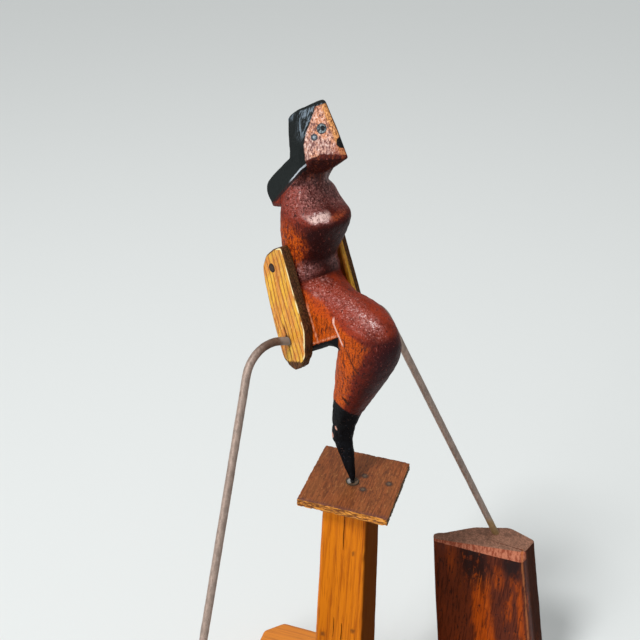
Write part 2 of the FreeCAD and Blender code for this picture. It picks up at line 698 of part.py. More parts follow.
def make_figure():
    """The carved woman, in one piece of wood from the crown of her head to her toe."""
    body = new_body("figure")
    loft(body, "trunk", [carved_section(body, row[0]) for row in TRUNK])
    loft(body, "lower_leg", [carved_section(body, row[0]) for row in LEG])
    loft(body, "head", [head_section(body, name) for name in ("chin", "brow")], ruled=True)
    outline = new_sketch(body, "hair_outline", "XZ_Plane")
    polygon(outline, [("sizes.%s_along" % row[0], "sizes.%s_up" % row[0]) for row in HAIR])
    pad(body, "hair_flick", outline, "2 * sizes.hair_half", Midplane=True)
    for side, sign in SIDES.items():
        saw_flat(body, side, sign)
        side_hole(body, side + "_nail_hole", sign, NAIL_TIP, BOARD_FACE,
                  "sizes.arm_nail_shank / 2")
        wire_run(body, side, sign, "SubtractivePipe")
    drill(body, "pin_hole", "XY_Plane", "sizes.pin_radius", "sizes.pin_length",
          pin_place(PIN_GAP))
    return stand_up(body)


def make_arm(side, sign):
    """Thin arm board, nailed at the shoulder, with the wire through its lower end."""
    body = new_body(side + "_arm")
    outline = new_sketch(body, side + "_arm_outline", "XZ_Plane",
                         place("sizes.arm_x", "sizes.arm_z", "%d * %s" % (-sign, BOARD_FACE),
                               angle="sizes.arm_lean"))
    polygon(outline, [("sizes.%s_along" % row[0], "sizes.%s_up" % row[0])
                      for row in ARM_OUTLINE])
    board = pad(body, side + "_arm_pad", outline, "sizes.arm_thickness", Reversed=sign > 0)
    rounded = dress(body, "Fillet", side + "_arm_corners", board,
                    lambda middle, span: abs(span.x) + abs(span.z) < TOUCHING,
                    "sizes.arm_round")
    outer = sign * evaluate(ARM_FACE)
    dress(body, "Chamfer", side + "_arm_edge", rounded,
          lambda middle, span: abs(middle.y - outer) < TOUCHING, "sizes.arm_edge")
    side_hole(body, side + "_head_seat", sign, NAIL_HEAD_UNDER, ARM_FACE,
              "sizes.arm_nail_head / 2")
    side_hole(body, side + "_nail_way", sign, BOARD_FACE, ARM_FACE, "sizes.arm_nail_shank / 2")
    wire_run(body, side, sign, "SubtractivePipe")
    return stand_up(body)


def make_shoulder_nail(side, sign):
    """Nail through the top of one arm into the figure."""
    body = make_nail(side + "_shoulder_nail", "sizes.arm_nail_head",
                     "sizes.arm_nail_head_depth", "sizes.arm_nail_shank",
                     "sizes.arm_nail_length")
    where = place(NAIL_X, "%d * (%s)" % (sign, ARM_FACE), NAIL_Z, "1; 0; 0", "%d" % (-90 * sign))
    body.setExpression("Placement", "%s * %s" % (
        place("0", "0", STAND_TOP, angle="-sizes.facing"), where))
    return body


def make_wire(side, sign):
    """Bent wire from inside the hip down to inside the weight."""
    body = new_body(side + "_wire")
    wire_run(body, side, sign, "AdditivePipe")
    return stand_up(body)


def make_weight(side, sign):
    """Split billet of dark wood that hangs on the wire, broad face to the front."""
    body = new_body(side + "_weight")
    sketches = []
    for level, drop, spread, bevel in (("top", "0", "1", "sizes.weight_bevel"),
                                       ("bevel", "sizes.weight_bevel", "1", "0"),
                                       ("foot", "sizes.weight_height",
                                        "sizes.weight_spread", "0")):
        plan = new_sketch(
            body, "%s_weight_%s" % (side, level), "XY_Plane",
            place("%s + %s * tan(sizes.weight_lean_forward)" % (ENTRY_X, drop),
                  "%d * (%s + %s * tan(sizes.weight_lean_out))" % (sign, ENTRY_Y, drop),
                  "%s - %s" % (ENTRY_Z, drop), angle="%d * sizes.weight_turn" % sign))
        corners = [("sizes.%s_along * %s" % (row[0], spread),
                    "%d * (sizes.%s_up%s)" % (sign, row[0],
                                              " + " + bevel if row[0].endswith("face") else ""))
                   for row in WEIGHT_OUTLINE]
        polygon(plan, corners)
        sketches.append(plan)
    loft(body, side + "_billet", sketches, ruled=True)
    wire_run(body, side, sign, "SubtractivePipe")
    return stand_up(body)


def make_pieces():
    """Build every piece that becomes a file of its own."""
    pieces = [make_base_board(), make_post(), make_platform()]
    pieces.append(group_of("post_screws", [make_post_screw(name) for name in SCREW_SPOTS]))
    nails = [make_platform_nail("platform_%s" % name, name, "sizes.nail_length")
             for name in ("nail_one", "nail_two")]
    pieces.append(group_of("platform_nails", nails))
    pieces.append(make_platform_nail("platform_tack", "tack", "sizes.tack_length"))
    pieces += [make_pivot_cup(), make_toe_ball(), make_toe_pin(), make_figure()]
    for side, sign in SIDES.items():
        pieces += [make_arm(side, sign), make_wire(side, sign), make_weight(side, sign)]
    nails = [make_shoulder_nail(side, sign) for side, sign in SIDES.items()]
    pieces.append(group_of("shoulder_nails", nails))
    return pieces


def write_parts(pieces):
    """Check every object, then write one file for each piece."""
    doc.recompute()
    for item in doc.Objects:
        if "Invalid" in item.State or "Error" in item.State:
            raise RuntimeError("%s did not build: %s" % (item.Label, item.State))
    os.makedirs("parts", exist_ok=True)
    for piece in pieces:
        shape = piece.Shape
        if shape.isNull() or not shape.isValid() or not shape.Solids:
            raise RuntimeError("%s has no sound solid" % piece.Label)
        shape.exportStep("parts/%s.step" % piece.Label)


write_parts(make_pieces())
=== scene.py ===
import json
import math
from functools import cached_property

import bpy
import numpy as np
from bpy.props import FloatProperty, FloatVectorProperty, PointerProperty
from mathutils import Matrix, Vector, noise


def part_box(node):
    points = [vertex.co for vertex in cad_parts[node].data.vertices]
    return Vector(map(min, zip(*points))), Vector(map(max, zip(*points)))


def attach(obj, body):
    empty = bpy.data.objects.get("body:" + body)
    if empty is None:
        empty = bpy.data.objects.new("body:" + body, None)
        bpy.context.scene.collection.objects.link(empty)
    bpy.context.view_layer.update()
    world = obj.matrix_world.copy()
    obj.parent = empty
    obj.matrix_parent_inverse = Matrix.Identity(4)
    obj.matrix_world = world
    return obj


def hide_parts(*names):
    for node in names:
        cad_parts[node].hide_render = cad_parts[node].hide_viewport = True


bl_info = {
    "name": "Balancing Figure",
    "version": (1, 0, 0),
    "blender": (4, 5, 0),
    "location": "View3D > Sidebar > Balancer",
    "description": "Looks of a carved figure that balances on a post",
    "category": "Object",
}

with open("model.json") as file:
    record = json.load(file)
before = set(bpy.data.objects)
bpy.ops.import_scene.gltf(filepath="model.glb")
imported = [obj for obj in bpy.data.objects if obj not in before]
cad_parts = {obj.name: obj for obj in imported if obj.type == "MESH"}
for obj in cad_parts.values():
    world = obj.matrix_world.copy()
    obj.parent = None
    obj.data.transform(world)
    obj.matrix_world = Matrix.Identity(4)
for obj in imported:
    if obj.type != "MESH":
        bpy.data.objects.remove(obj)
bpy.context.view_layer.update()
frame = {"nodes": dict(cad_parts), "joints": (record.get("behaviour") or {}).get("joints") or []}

# The balancing pieces are shaped in the figure's own frame, in millimetres: X forward, Y to her
# left, Z up from the platform, with the toe on the Z axis. The stand is shaped in the row frame.
MM = 0.001
FORWARD = Vector(next(j["axis"] for j in frame["joints"] if j["name"] == "rock_side"))
FACING = math.atan2(FORWARD.y, FORWARD.x)
PLATFORM_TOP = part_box("platform")[1].z / MM
ROW = Matrix.Scale(MM, 4)
STANDING = ROW @ Matrix.Translation((0, 0, PLATFORM_TOP)) @ Matrix.Rotation(FACING, 4, "Z")
SIDES = {"right": -1, "left": 1}


# Settings that a user would change

def length(name, default, description):
    """A length in metres."""
    return FloatProperty(name=name, description=description, default=default, unit="LENGTH",
                         precision=4)


def angle(name, default, description):
    """An angle, given here in degrees."""
    return FloatProperty(name=name, description=description, default=math.radians(default),
                         subtype="ANGLE")


def colour(name, default, description):
    """A scene-linear colour."""
    return FloatVectorProperty(name=name, description=description, default=default, size=3,
                               min=0, max=1, subtype="COLOR")


class BALANCER_PG_stand(bpy.types.PropertyGroup):
    """Sizes of the base, post and platform."""
    corner_cut: length("Corner Cut", 0.0115, "Length cut off each side at a base corner")
    base_edge: length("Base Edge", 0.0018, "Roundness of the base's worn upper edge")
    post_edge: length("Post Edge", 0.0013, "Roundness of the post's long edges")
    platform_edge: length("Platform Edge", 0.0004, "Roundness of the platform's worn edges")
    platform_wear: length("Platform Wear", 0.0007, "Depth of the chips along its edges")
    crack_depth: length("Crack Depth", 0.0022, "Depth of the drying cracks in the post")
    pine_light: colour("Pine", (0.680, 0.190, 0.005), "Varnished pine")
    pine_dark: colour("Pine Grain", (0.340, 0.068, 0.002), "Late wood and knots of the pine")
    plank: colour("Platform", (0.235, 0.066, 0.020), "Oiled brown wood of the platform")
    plank_edge: colour("Platform Edge Colour", (0.700, 0.270, 0.035), "Bare wood on its edges")


class BALANCER_PG_carving(bpy.types.PropertyGroup):
    """Sizes and colours of the carved figure."""
    board: length("Board", 0.030, "Thickness of the board that she is sawn from")
    clay: length("Modelling Step", 0.0006, "Size of the cells in which the carving is joined")
    knife: length("Knife Marks", 0.00035, "Depth of the marks that the knife left")
    eye: length("Eye", 0.0024, "Radius of the painted eye")
    cheek_dot: length("Cheek Dot", 0.0017, "Radius of the small ring under the eye")
    stain: colour("Stain", (0.205, 0.021, 0.008), "Red stain of the body")
    # Partly thin stain, partly painted sunlight on her sides.
    glow: colour("Worn Stain", (0.630, 0.098, 0.003), "Orange where the stain is thin")
    # Partly dark stain, partly painted shade on her front and undersides.
    dark_stain_and_shade: colour("Burnt", (0.030, 0.005, 0.005), "Dark front of the body")
    paint: colour("Black Paint", (0.006, 0.006, 0.007), "Hair and boot")
    bare: colour("Bare Wood", (0.600, 0.320, 0.250), "Face and chips")


class BALANCER_PG_arms(bpy.types.PropertyGroup):
    """Sizes and colours of the two arm boards."""
    thickness: length("Thickness", 0.0053, "Thickness of an arm board")
    lean: angle("Lean", 24, "Top of the arm leaning back")
    ridge: length("Grain Ridge", 0.00016, "Height of the late wood above the early wood")
    early: colour("Early Wood", (0.780, 0.420, 0.034), "Pale yellow wood between the rings")
    late: colour("Late Wood", (0.330, 0.095, 0.008), "Brown lines of the rings")
    edge: colour("Arm Edge", (0.024, 0.010, 0.007), "Dark edges of the board")


class BALANCER_PG_balance(bpy.types.PropertyGroup):
    """Sizes and colours of the wires and weights."""
    wire: length("Wire", 0.0044, "Thickness of the wire")
    fall: length("Fall", 0.203, "Falling run of the wire, from the bend's corner")
    splay: angle("Splay", 22.1, "Slope of that run out from the plumb")
    wire_lean: angle("Wire Lean", 13.9, "Plane of the wire leaning forward as it falls")
    exit_rise: angle("Exit Rise", 17, "Slope of the run out of the arm")
    bend: length("Bend", 0.019, "Radius of the bend")
    height: length("Weight Height", 0.100, "Height of a weight")
    turn: angle("Weight Turn", 34.1, "Turn of its broad face from her side")
    lean_out: angle("Weight Lean Out", 4.2, "Foot of the weight leaning away from her")
    lean_forward: angle("Weight Lean Forward", 8.8, "Foot of the weight leaning forward")
    spread: FloatProperty(name="Weight Spread", default=1.12,
                          description="Breadth at the foot over breadth at the top")
    bevel: length("Weight Bevel", 0.0026, "Bevel along the top of the front face")
    rust: colour("Rust", (0.340, 0.250, 0.205), "Brown rust of the wire")
    billet: colour("Billet", (0.118, 0.022, 0.008), "Dark polished wood of the weights")
    heart: colour("Billet Heart", (0.400, 0.062, 0.002), "Orange streaks of the weights")
    sawn: colour("Sawn End", (0.330, 0.165, 0.110), "Sawn top of the weights")


class BALANCER_PG_metal(bpy.types.PropertyGroup):
    """Colours of the nails and the pivot."""
    nail: colour("Nail", (0.050, 0.038, 0.034), "Dark nail heads")
    steel: colour("Steel", (0.560, 0.540, 0.510), "Worn dish under her toe")


class BALANCER_PG_stage(bpy.types.PropertyGroup):
    """Camera, lamps and floor."""
    eye: FloatVectorProperty(name="Camera", default=(0.1055, -0.3981, 0.5691), size=3,
                             subtype="TRANSLATION", unit="LENGTH",
                             description="Place of the camera")
    heading: angle("Heading", 17.57, "Camera's turn from straight along Y")
    pitch: angle("Pitch", 29.77, "Camera looking down")
    roll: angle("Roll", -1.256, "Camera's tilt")
    lens: FloatProperty(name="Lens", default=54.11, min=10, description="Focal length",
                        subtype="DISTANCE_CAMERA")
    key: FloatProperty(name="Key", default=1.8, min=0, description="Strength of the key lamp")
    key_softness: angle("Key Softness", 12, "Width of the key lamp as the object sees it")
    fill: FloatProperty(name="Fill", default=9, min=0, description="Power of the window lamp",
                        subtype="POWER", unit="POWER")
    above: FloatProperty(name="Above", default=9, min=0, description="Power of the lamp above",
                         subtype="POWER", unit="POWER")
    sky: FloatProperty(name="Sky", default=0.22, min=0, description="Strength of the soft sky")
    far: FloatProperty(name="Far", default=0.8, min=0, max=1,
                       description="Strength of the backdrop behind the floor")
    backdrop: colour("Backdrop", (0.76, 0.785, 0.78), "Floor and backdrop")


SETTINGS = {
    "balancer_stand": BALANCER_PG_stand,
    "balancer_carving": BALANCER_PG_carving,
    "balancer_arms": BALANCER_PG_arms,
    "balancer_balance": BALANCER_PG_balance,
    "balancer_metal": BALANCER_PG_metal,
    "balancer_stage": BALANCER_PG_stage,
}


def settings(group):
    """The scene's settings of one group."""
    return getattr(bpy.context.scene, "balancer_" + group)


def in_mm(group, name):
    """A length setting in millimetres."""
    return getattr(group, name) / MM


# Shader maths

def maths(operation, swapped=False):
    """Make a method that adds one Math node and gives its result."""
    def method(self, *others):
        numbers = others + (self,) if swapped else (self,) + others
        node = self.finish.node("ShaderNodeMath", {"operation": operation},
                                dict(enumerate(numbers)))
        return Value(self.finish, node.outputs[0])
    return method


class Value:
    """A number in a material's node tree; an expression on it adds its Math nodes."""

    def __init__(self, finish, socket):
        self.finish = finish
        self.socket = socket

    __add__ = __radd__ = maths("ADD")
    __sub__ = maths("SUBTRACT")
    __rsub__ = maths("SUBTRACT", swapped=True)
    __mul__ = __rmul__ = maths("MULTIPLY")
    __truediv__ = maths("DIVIDE")
    __pow__ = maths("POWER")
    __mod__ = maths("FLOORED_MODULO")
    __abs__ = maths("ABSOLUTE")
    most = maths("MAXIMUM")
    least = maths("MINIMUM")

    def clip(self, high=1.0):
        """Keep this between 0 and a limit."""
        return self.most(0.0).least(high)

    def step(self, low, high):
        """Rise smoothly from 0 where this is low to 1 where it is high."""
        node = self.finish.node("ShaderNodeMapRange", {"interpolation_type": "SMOOTHSTEP"},
                                {"Value": self, "From Min": low, "From Max": high})
        return Value(self.finish, node.outputs["Result"])

    def band(self, start, full, end, gone):
        """Rise smoothly from 0 at start to 1 at full, and fall again from end to gone."""
        return self.step(start, full) * self.step(gone, end)


class Tone:
    """A colour in a material's node tree, over which others are laid."""

    def __init__(self, finish, socket):
        self.finish = finish
        self.socket = socket

    def lay(self, amount, other):
        """Lay another colour over this one."""
        self.socket = self.finish.mix(amount, self, other).socket


class Finish:
    """A procedural material, written from its coordinates to its surface."""

    def __init__(self, name, turned=False):
        self.material = bpy.data.materials.new(name)
        self.material.use_nodes = True
        self.tree = self.material.node_tree
        self.tree.nodes.clear()
        self.turned = turned

    def node(self, kind, options=None, sockets=None):
        """Add a node, set what it is, then fill its sockets with values or links."""
        node = self.tree.nodes.new(kind)
        for key, value in (options or {}).items():
            setattr(node, key, value)
        for key, value in (sockets or {}).items():
            socket, value = node.inputs[key], getattr(value, "socket", value)
            if isinstance(value, bpy.types.NodeSocket):
                self.tree.links.new(value, socket)
            elif socket.type == "RGBA":
                socket.default_value = tuple(value) + (1.0,)
            else:
                socket.default_value = value
        return node

    def vector(self, operation, *vectors, **sockets):
        """The result of one Vector Math node."""
        node = self.node("ShaderNodeVectorMath", {"operation": operation},
                         {**dict(enumerate(vectors)), **sockets})
        return node.outputs["Value" if operation == "DISTANCE" else "Vector"]

    def coordinate(self, kind):
        """A texture coordinate, in the figure's frame if turned, else in the row's."""
        way = self.node("ShaderNodeTexCoord").outputs[kind]
        if self.turned:
            way = self.node("ShaderNodeVectorRotate", {"rotation_type": "Z_AXIS"},
                            {"Vector": way, "Angle": -FACING}).outputs[0]
        return way

    @cached_property
    def where(self):
        """The place on the surface, in millimetres."""
        where = self.coordinate("Object")
        if self.turned:
            where = self.vector("SUBTRACT", where, (0, 0, PLATFORM_TOP * MM))
        return self.vector("SCALE", where, Scale=1 / MM)

    def split(self, vector):
        """The three numbers of a vector."""
        node = self.node("ShaderNodeSeparateXYZ", None, {0: vector})
        return [Value(self, socket) for socket in node.outputs]

    def join(self, x, y, z):
        """A vector from three numbers."""
        return self.node("ShaderNodeCombineXYZ", None, {0: x, 1: y, 2: z}).outputs[0]

    def noise(self, size, detail=2.0, rough=0.5, stretch=None, twist=0.0):
        """Smooth noise about 0.5 with features of one size, in millimetres."""
        where = self.vector("DIVIDE", self.where, stretch) if stretch else self.where
        node = self.node("ShaderNodeTexNoise", None,
                         {"Vector": where, "Scale": 1 / size, "Detail": detail,
                          "Roughness": rough, "Distortion": twist})
        return Value(self, node.outputs[0])

    def near(self, where, point):
        """Distance from a point."""
        return Value(self, self.vector("DISTANCE", where, point))

    def stored(self, name):
        """A number kept on the mesh."""
        node = self.node("ShaderNodeAttribute", {"attribute_name": name})
        return Value(self, node.outputs["Fac"])

    def mix(self, amount, first, second):
        """Blend two colours."""
        node = self.node("ShaderNodeMix", {"data_type": "RGBA"},
                         {"Factor": amount, 6: first, 7: second})
        return Tone(self, node.outputs[2])

    def surface(self, height=None, depth=0.0, matte=0.0, **sockets):
        """End the material in a Principled shader, raised by a height over a depth in millimetres.

        Underscores in a socket's name stand for spaces. Matte is the share of a dull shader.
        """
        sockets = {key.replace("_", " "): value for key, value in sockets.items()}
        if height is not None:
            sockets["Normal"] = self.node("ShaderNodeBump", None,
                                          {"Strength": 1.0, "Distance": depth * MM,
                                           "Height": height}).outputs[0]
        shader = self.node("ShaderNodeBsdfPrincipled", None, sockets)
        if matte != 0.0:
            dull = {key: sockets[key] for key in ("Base Color", "Normal")}
            dull = self.node("ShaderNodeBsdfPrincipled", None,
                             {**dull, "Roughness": 0.9, "Specular IOR Level": 0.0})
            shader = self.node("ShaderNodeMixShader", None,
                               {0: matte, 1: shader.outputs[0], 2: dull.outputs[0]})
        self.node("ShaderNodeOutputMaterial", None, {"Surface": shader.outputs[0]})
        return self.material


def tint(base, *shares):
    """A colour with its red, green and blue each taken by a share, or all by one share."""
    return [share * part for share, part in zip(shares * 3, base)]


# Finishes

def varnished_pine(name, along, pith, slope, gap, fade):
    """Orange pine: rings about a far pith, streaks along the grain, and a soft varnish."""
    look = settings("stand")
    finish = Finish(name)
    x, y, z = finish.split(finish.where)
    axes = {"X": (y, z, x), "Z": (x, y, z)}[along]
    stretch = {"X": (14, 1, 1), "Z": (1, 1, 14)}[along]
    waver = finish.noise(9, 2, stretch=tuple(0.5 * s + 0.5 for s in stretch)) - 0.5
    across = axes[0] - pith[0] + slope * axes[2]
    deep = axes[1] - pith[1]
    radius = (across * across + deep * deep) ** 0.5 + waver * gap
    ring = (radius / gap) % 1.0
    late = ring.band(0.45, 0.85, 0.90, 1.0)
    fibre = finish.noise(0.75, 3, 0.6, stretch=tuple(2.6 * s if s > 1 else 1 for s in stretch))
    cloud = finish.noise(16, 2, stretch=tuple(0.3 * s if s > 1 else 1 for s in stretch))
    grain = late * 0.34 + fibre.step(0.50, 0.62) * 0.45 + cloud.step(0.5, 0.75) * 0.30
    tone = finish.mix(grain, look.pine_light, look.pine_dark)
    tone.lay(fade, (0.62, 0.30, 0.11))
    # Painted shade: faces turned to the right, away from the key lamp, are laid darker.
    right_shade = finish.split(finish.coordinate("Normal"))[0].step(0.35, 0.85)
    tone.lay(right_shade * 0.85, (0.070, 0.014, 0.002))
    tone.lay(finish.stored("knot") * 0.85, (0.16, 0.045, 0.008))
    tone.lay(finish.stored("crack"), (0.035, 0.014, 0.006))
    height = late * 0.5 + fibre * 0.5
    return finish.surface(Base_Color=tone, Roughness=0.42 + fibre * 0.14,
                          Coat_Weight=0.12 * (1 - right_shade), Coat_Roughness=0.2,
                          Specular_IOR_Level=0.12, height=height, depth=0.14,
                          matte=right_shade * 0.45 + 0.45)


def oiled_plank():
    """Brown platform board: straight grain, pores, stains about the nails, broken edges."""
    look = settings("stand")
    finish = Finish("oiled_plank")
    y = finish.split(finish.where)[1]
    streak = finish.noise(0.95, 4, 0.62, stretch=(1, 11, 1))
    broad = finish.noise(6, 2, 0.5, stretch=(1, 3, 1))
    fleck = finish.noise(0.75, 2, 0.55, stretch=(1, 4, 1))
    tone = finish.mix(streak.step(0.3, 0.7), tint(look.plank, 0.62), tint(look.plank, 1.40))
    tone.lay(broad.step(0.35, 0.75) * 0.4, (0.33, 0.115, 0.035))
    tone.lay(fleck.step(0.60, 0.70) * 0.6, (0.46, 0.18, 0.06))
    tone.lay(fleck.step(0.42, 0.34) * 0.6, (0.085, 0.026, 0.012))
    rim = (y + (broad - 0.5) * 3 + (fleck - 0.5) * 3).step(-20.5, -23.5)
    tone.lay(rim * 0.6, (0.115, 0.045, 0.040))
    split = finish.noise(0.7, 3, 0.65, stretch=(5, 5, 0.9))
    bare = finish.mix(split.step(0.42, 0.60), (0.16, 0.050, 0.012), look.plank_edge)
    bare.lay(split.step(0.62, 0.72) * 0.7, (0.85, 0.50, 0.16))
    wear = finish.stored("wear") + (fleck - 0.5) * 0.8
    tone.lay(wear.step(0.38, 0.62), bare)
    # Painted shade: edges turned to the right, away from the key lamp, are laid darker.
    right_shade = finish.split(finish.coordinate("Normal"))[0].step(0.45, 0.8)
    shaded = finish.mix(split.step(0.62, 0.72) * 0.5, (0.060, 0.034, 0.014), (0.30, 0.19, 0.09))
    tone.lay(right_shade * 0.92, shaded)
    tone.lay(finish.stored("stain") * 0.8, (0.050, 0.026, 0.018))
    height = streak * 0.5 + fleck * 0.3 + split * wear.step(0.4, 0.7)
    return finish.surface(Base_Color=tone, Roughness=0.45 + wear.step(0.4, 0.7) * 0.3,
                          Coat_Weight=0.10, Coat_Roughness=0.25, Specular_IOR_Level=0.15,
                          height=height, depth=0.30)


# Landmarks of the carving in her own frame, for what is painted or worn there, and for
# the painted light and shade. What shows on both sides is given on her right and mirrored.
# RIBS: partly painted sunlight; NAVEL: painted shade; WAIST, CHEST, KNEE: painted highlights.
RIBS = (-37, -15, 132)
NAVEL = (-26, -1, 119)
WAIST = (-31, 5, 119.5)
CHEST = (-34, -8, 156)
KNEE = (10.5, -3.5, 106.8)
CHIN = (-17, -1, 183)
EYE = (-27.2, -4.4, 192.3)
PUPIL = (-26.8, -4.1, 192.6)
CHEEK_DOT = (-28.7, -7.5, 188.3)
MOUTH = (-17.9, 0.4, 187.3)
# Middle of a chip, and the distances at which it ends and is full
PAINT_CHIPS = [((-7.5, -6.3, 34.3), 1.6, 1.0), ((-11.6, -5.3, 27.1), 2.0, 1.3)]
SLIT = (1.2, 62.8)  # x and z of a cut's start, on the side only
SCRATCH = (-4, 105.2)


class Carving(Finish):
    """The carved figure's finish: what its parts share, then one method for each part."""

    def __init__(self, name):
        super().__init__(name, turned=True)
        self.look = settings("carving")
        self.place = self.split(self.where)
        x, y, z = self.place
        self.side = abs(y)
        self.mirror = self.join(x, self.side * -1, z)
        self.facing = self.split(self.coordinate("Normal"))
        self.edge_on = abs(self.facing[1]).step(0.25, 0.75)
        self.ragged = self.noise(1.6, 3, 0.6) - 0.5
        self.broad = self.noise(12, 3, 0.6) - 0.5
        self.fibre = self.noise(0.8, 3, 0.6, stretch=(1, 1, 7))
        self.speck = self.noise(0.85, 2, 0.65)

    def stain(self):
        """Red body: orange sides and a dark front, each partly stain and partly painted light."""
        x, _, z = self.place
        look, ragged, broad, fibre = self.look, self.ragged, self.broad, self.fibre
        front, level = self.facing[0], self.facing[2]
        # Orange on the hip, calf and ribs: partly thinner stain, partly painted sunlight on the
        # sides.
        hip_line = 109.6 - z - (x + 23) * 0.22 - (x + 2).most(0.0) * 0.15 + ragged * 2.6
        calf_line = 17.5 - x + (z - 92) * 0.42 + ragged * 3.5 + broad * 6
        flank = hip_line.step(-0.8, 1.4) * calf_line.step(-1.5, 3.0)
        self.ribs = ribs = self.near(self.mirror, RIBS).step(17, 7)
        glow = (flank * (0.85 + broad * 0.8)).most(ribs * 0.85 * self.edge_on)
        glow = glow.most(broad.step(0.1, 0.32) * 0.4) - self.speck.step(0.58, 0.66) * 0.25
        self.glow = (glow - (fibre.step(0.46, 0.58) + ragged) * ribs * 0.7).clip()
        # Partly dark stain, partly painted shade: front and down faces, neck, waist crease.
        dark_stain_and_shade = front.step(0.20, 0.85) * 0.85 + broad * 0.9 - self.edge_on * 0.2 - ribs * 0.4
        dark_stain_and_shade = dark_stain_and_shade + level.step(-0.02, -0.40) * z.step(116, 120) * (1 - ribs) * 0.7
        dark_stain_and_shade = dark_stain_and_shade.most(z.step(159.5, 162.5) * (0.55 + front.step(0.2, 0.8) * 0.4 + broad))
        dark_stain_and_shade = dark_stain_and_shade.most(self.near(self.mirror, NAVEL).step(9, 4) * 0.8)
        body = self.mix(self.glow, look.stain, look.glow)
        body.lay((dark_stain_and_shade * 0.92).clip(), look.dark_stain_and_shade)
        vessel = self.noise(1.1, 2, 0.5, stretch=(1, 1, 5), twist=0.6)
        body.lay(z.step(162, 166) * vessel.step(0.48, 0.40) * 0.6, (0.24, 0.050, 0.014))
        body.lay(fibre.step(0.50, 0.62) * 0.5, (0.070, 0.009, 0.003))
        body.lay(vessel.step(0.58, 0.63) * 0.7, (0.024, 0.005, 0.004))
        body.lay(self.speck.step(0.54, 0.62) * 0.5, (0.030, 0.006, 0.004))

        # Painted shade under the bust.
        under_bust_shade = z.band(120, 132, 145, 148) * x.step(-36, -31)
        body.lay(under_bust_shade * (1 - ribs) * (0.50 + broad * 0.8), (0.024, 0.004, 0.004))
        # Darker knee and shin front: partly dark stain, partly painted shade where it faces
        # forward.
        shin_dark_and_shade = (x - 9 + broad * 20 + ragged * 7).step(0, 8) * (z - 106 + ragged * 4).step(3, -6)
        body.lay(shin_dark_and_shade * (0.30 + front.step(0.7, 1.0) * 0.50), (0.022, 0.006, 0.009))
        # Painted shade under the jaw.
        throat_shade = level.step(-0.05, -0.45) * z.band(163, 167, 180, 184)
        body.lay(throat_shade * 0.65, (0.020, 0.003, 0.002))
        # The thigh's top, facing up, is laid a brighter red: partly stain, partly painted light.
        thigh = level.step(0.15, 0.55) * z.band(98, 102, 112, 119) * (broad * 1.8 + 0.40)
        body.lay(thigh.clip(0.60), (0.38, 0.042, 0.011))
        return body

    def rub(self, body):
        """Painted highlights on what stands proud: bust, thigh, knee, waist and shoulder."""
        x, y, z = self.place
        ragged, broad = self.ragged, self.broad
        # Places of the painted highlights.
        bust = (z - 147.0 + ragged * 2).step(-1.2, 1.6) * z.step(154.9, 149.8) \
            * x.step(-32, -28) * abs(y + 7.5 + ragged * 3).step(8.0, 2.5)
        lap = abs(z - 109.9 + (x + 6) * 0.19).step(6.5, 1.5) * self.facing[2].step(0.35, 0.75) \
            * x.step(-33, -29) * abs(y + 5.5 + broad * 8).step(9.5, 3.0)
        knee = self.near(self.where, KNEE).step(8.0, 1.0)
        waist = self.near(self.join(x, self.side * 0.4, z), WAIST).step(7, 2)
        chest = self.near(self.mirror, CHEST).step(15, 4)
        run = (x + 20) * 0.16
        rise, reach = z - 111 + run, y + 8 - run
        streak = ((rise * rise + reach * reach) ** 0.5 + ragged * 3).step(5.0, 0.8) \
            * x.band(-29, -17, 14, 20) * (x.step(-20, 14) * 0.5 + 0.75)
        bright_spots = (bust * 1.1).most(lap * 0.35).most(streak).most(knee * 1.1).most(waist * 0.9)
        bright_spots = bright_spots.most(chest * 0.7)

        crumb = self.noise(1.3, 3, 0.7, twist=0.8)
        body.lay(crumb.step(0.55, 0.66) * 0.75, (0.026, 0.005, 0.007))
        # Pale specks and spots below are painted highlights.
        sheen_specks = self.noise(1.0, 2, 0.6, twist=0.5).step(0.55, 0.65)
        body.lay((chest * 0.8).most(lap) * sheen_specks * 0.75, (0.62, 0.270, 0.230))
        glint_specks = self.noise(1.1, 3, 0.7, stretch=(1, 1, 2), twist=0.6).step(0.60, 0.68)
        body.lay(glint_specks * (1 - self.glow) * 0.6, (0.30, 0.075, 0.060))
        painted_sheen = bright_spots * (crumb.step(0.60, 0.36) * 0.75 + bust * 0.25)
        body.lay((painted_sheen * 0.72).least(1.0), (0.56, 0.215, 0.200))
        body.lay(painted_sheen.step(0.5, 0.95) * 0.80, (0.88, 0.68, 0.66))
        # Painted highlight along the bust's ridge.
        bust_highlight = abs(z - 149.4 - (y + 7) * 0.10 + ragged * 1.5).step(2.0, 0.4) \
            * abs(y + 7 + ragged * 2).step(7.0, 3.5) * x.step(-31, -29)
        body.lay(bust_highlight * crumb.step(0.66, 0.50) * 0.9, (0.93, 0.64, 0.58))
        # Painted orange glint along the ridge, beside that highlight.
        ridge = abs(z - 148.3 - (y + 4) * 0.07 + ragged * 2.2).step(1.5, 0.2) \
            * y.band(-6, 0, 4, 12) * x.step(-30, -28) * crumb.step(0.62, 0.46)
        body.lay(ridge * 0.60, (0.50, 0.100, 0.035))
        # Pale lines at the seat's edge and by the arm: partly worn edge, partly painted highlight.
        hem_wear_and_highlight = z - 84.6 - (x + 16.7) * 0.71 + ragged * 1.6
        hem_wear_and_highlight = hem_wear_and_highlight.band(0.3, 0.7, 1.0, 2.2) * x.step(3, 1) * self.fibre.step(0.60, 0.45)
        crease = abs(x + 22.9 - (104.2 - z) * 0.537 + ragged * 1.2).step(1.3, 0.4) \
            * z.band(86, 89, 101, 107) * self.fibre.step(0.6, 0.5)
        body.lay(hem_wear_and_highlight.most(crease) * self.edge_on * 0.6, (0.76, 0.33, 0.20))
        return bright_spots

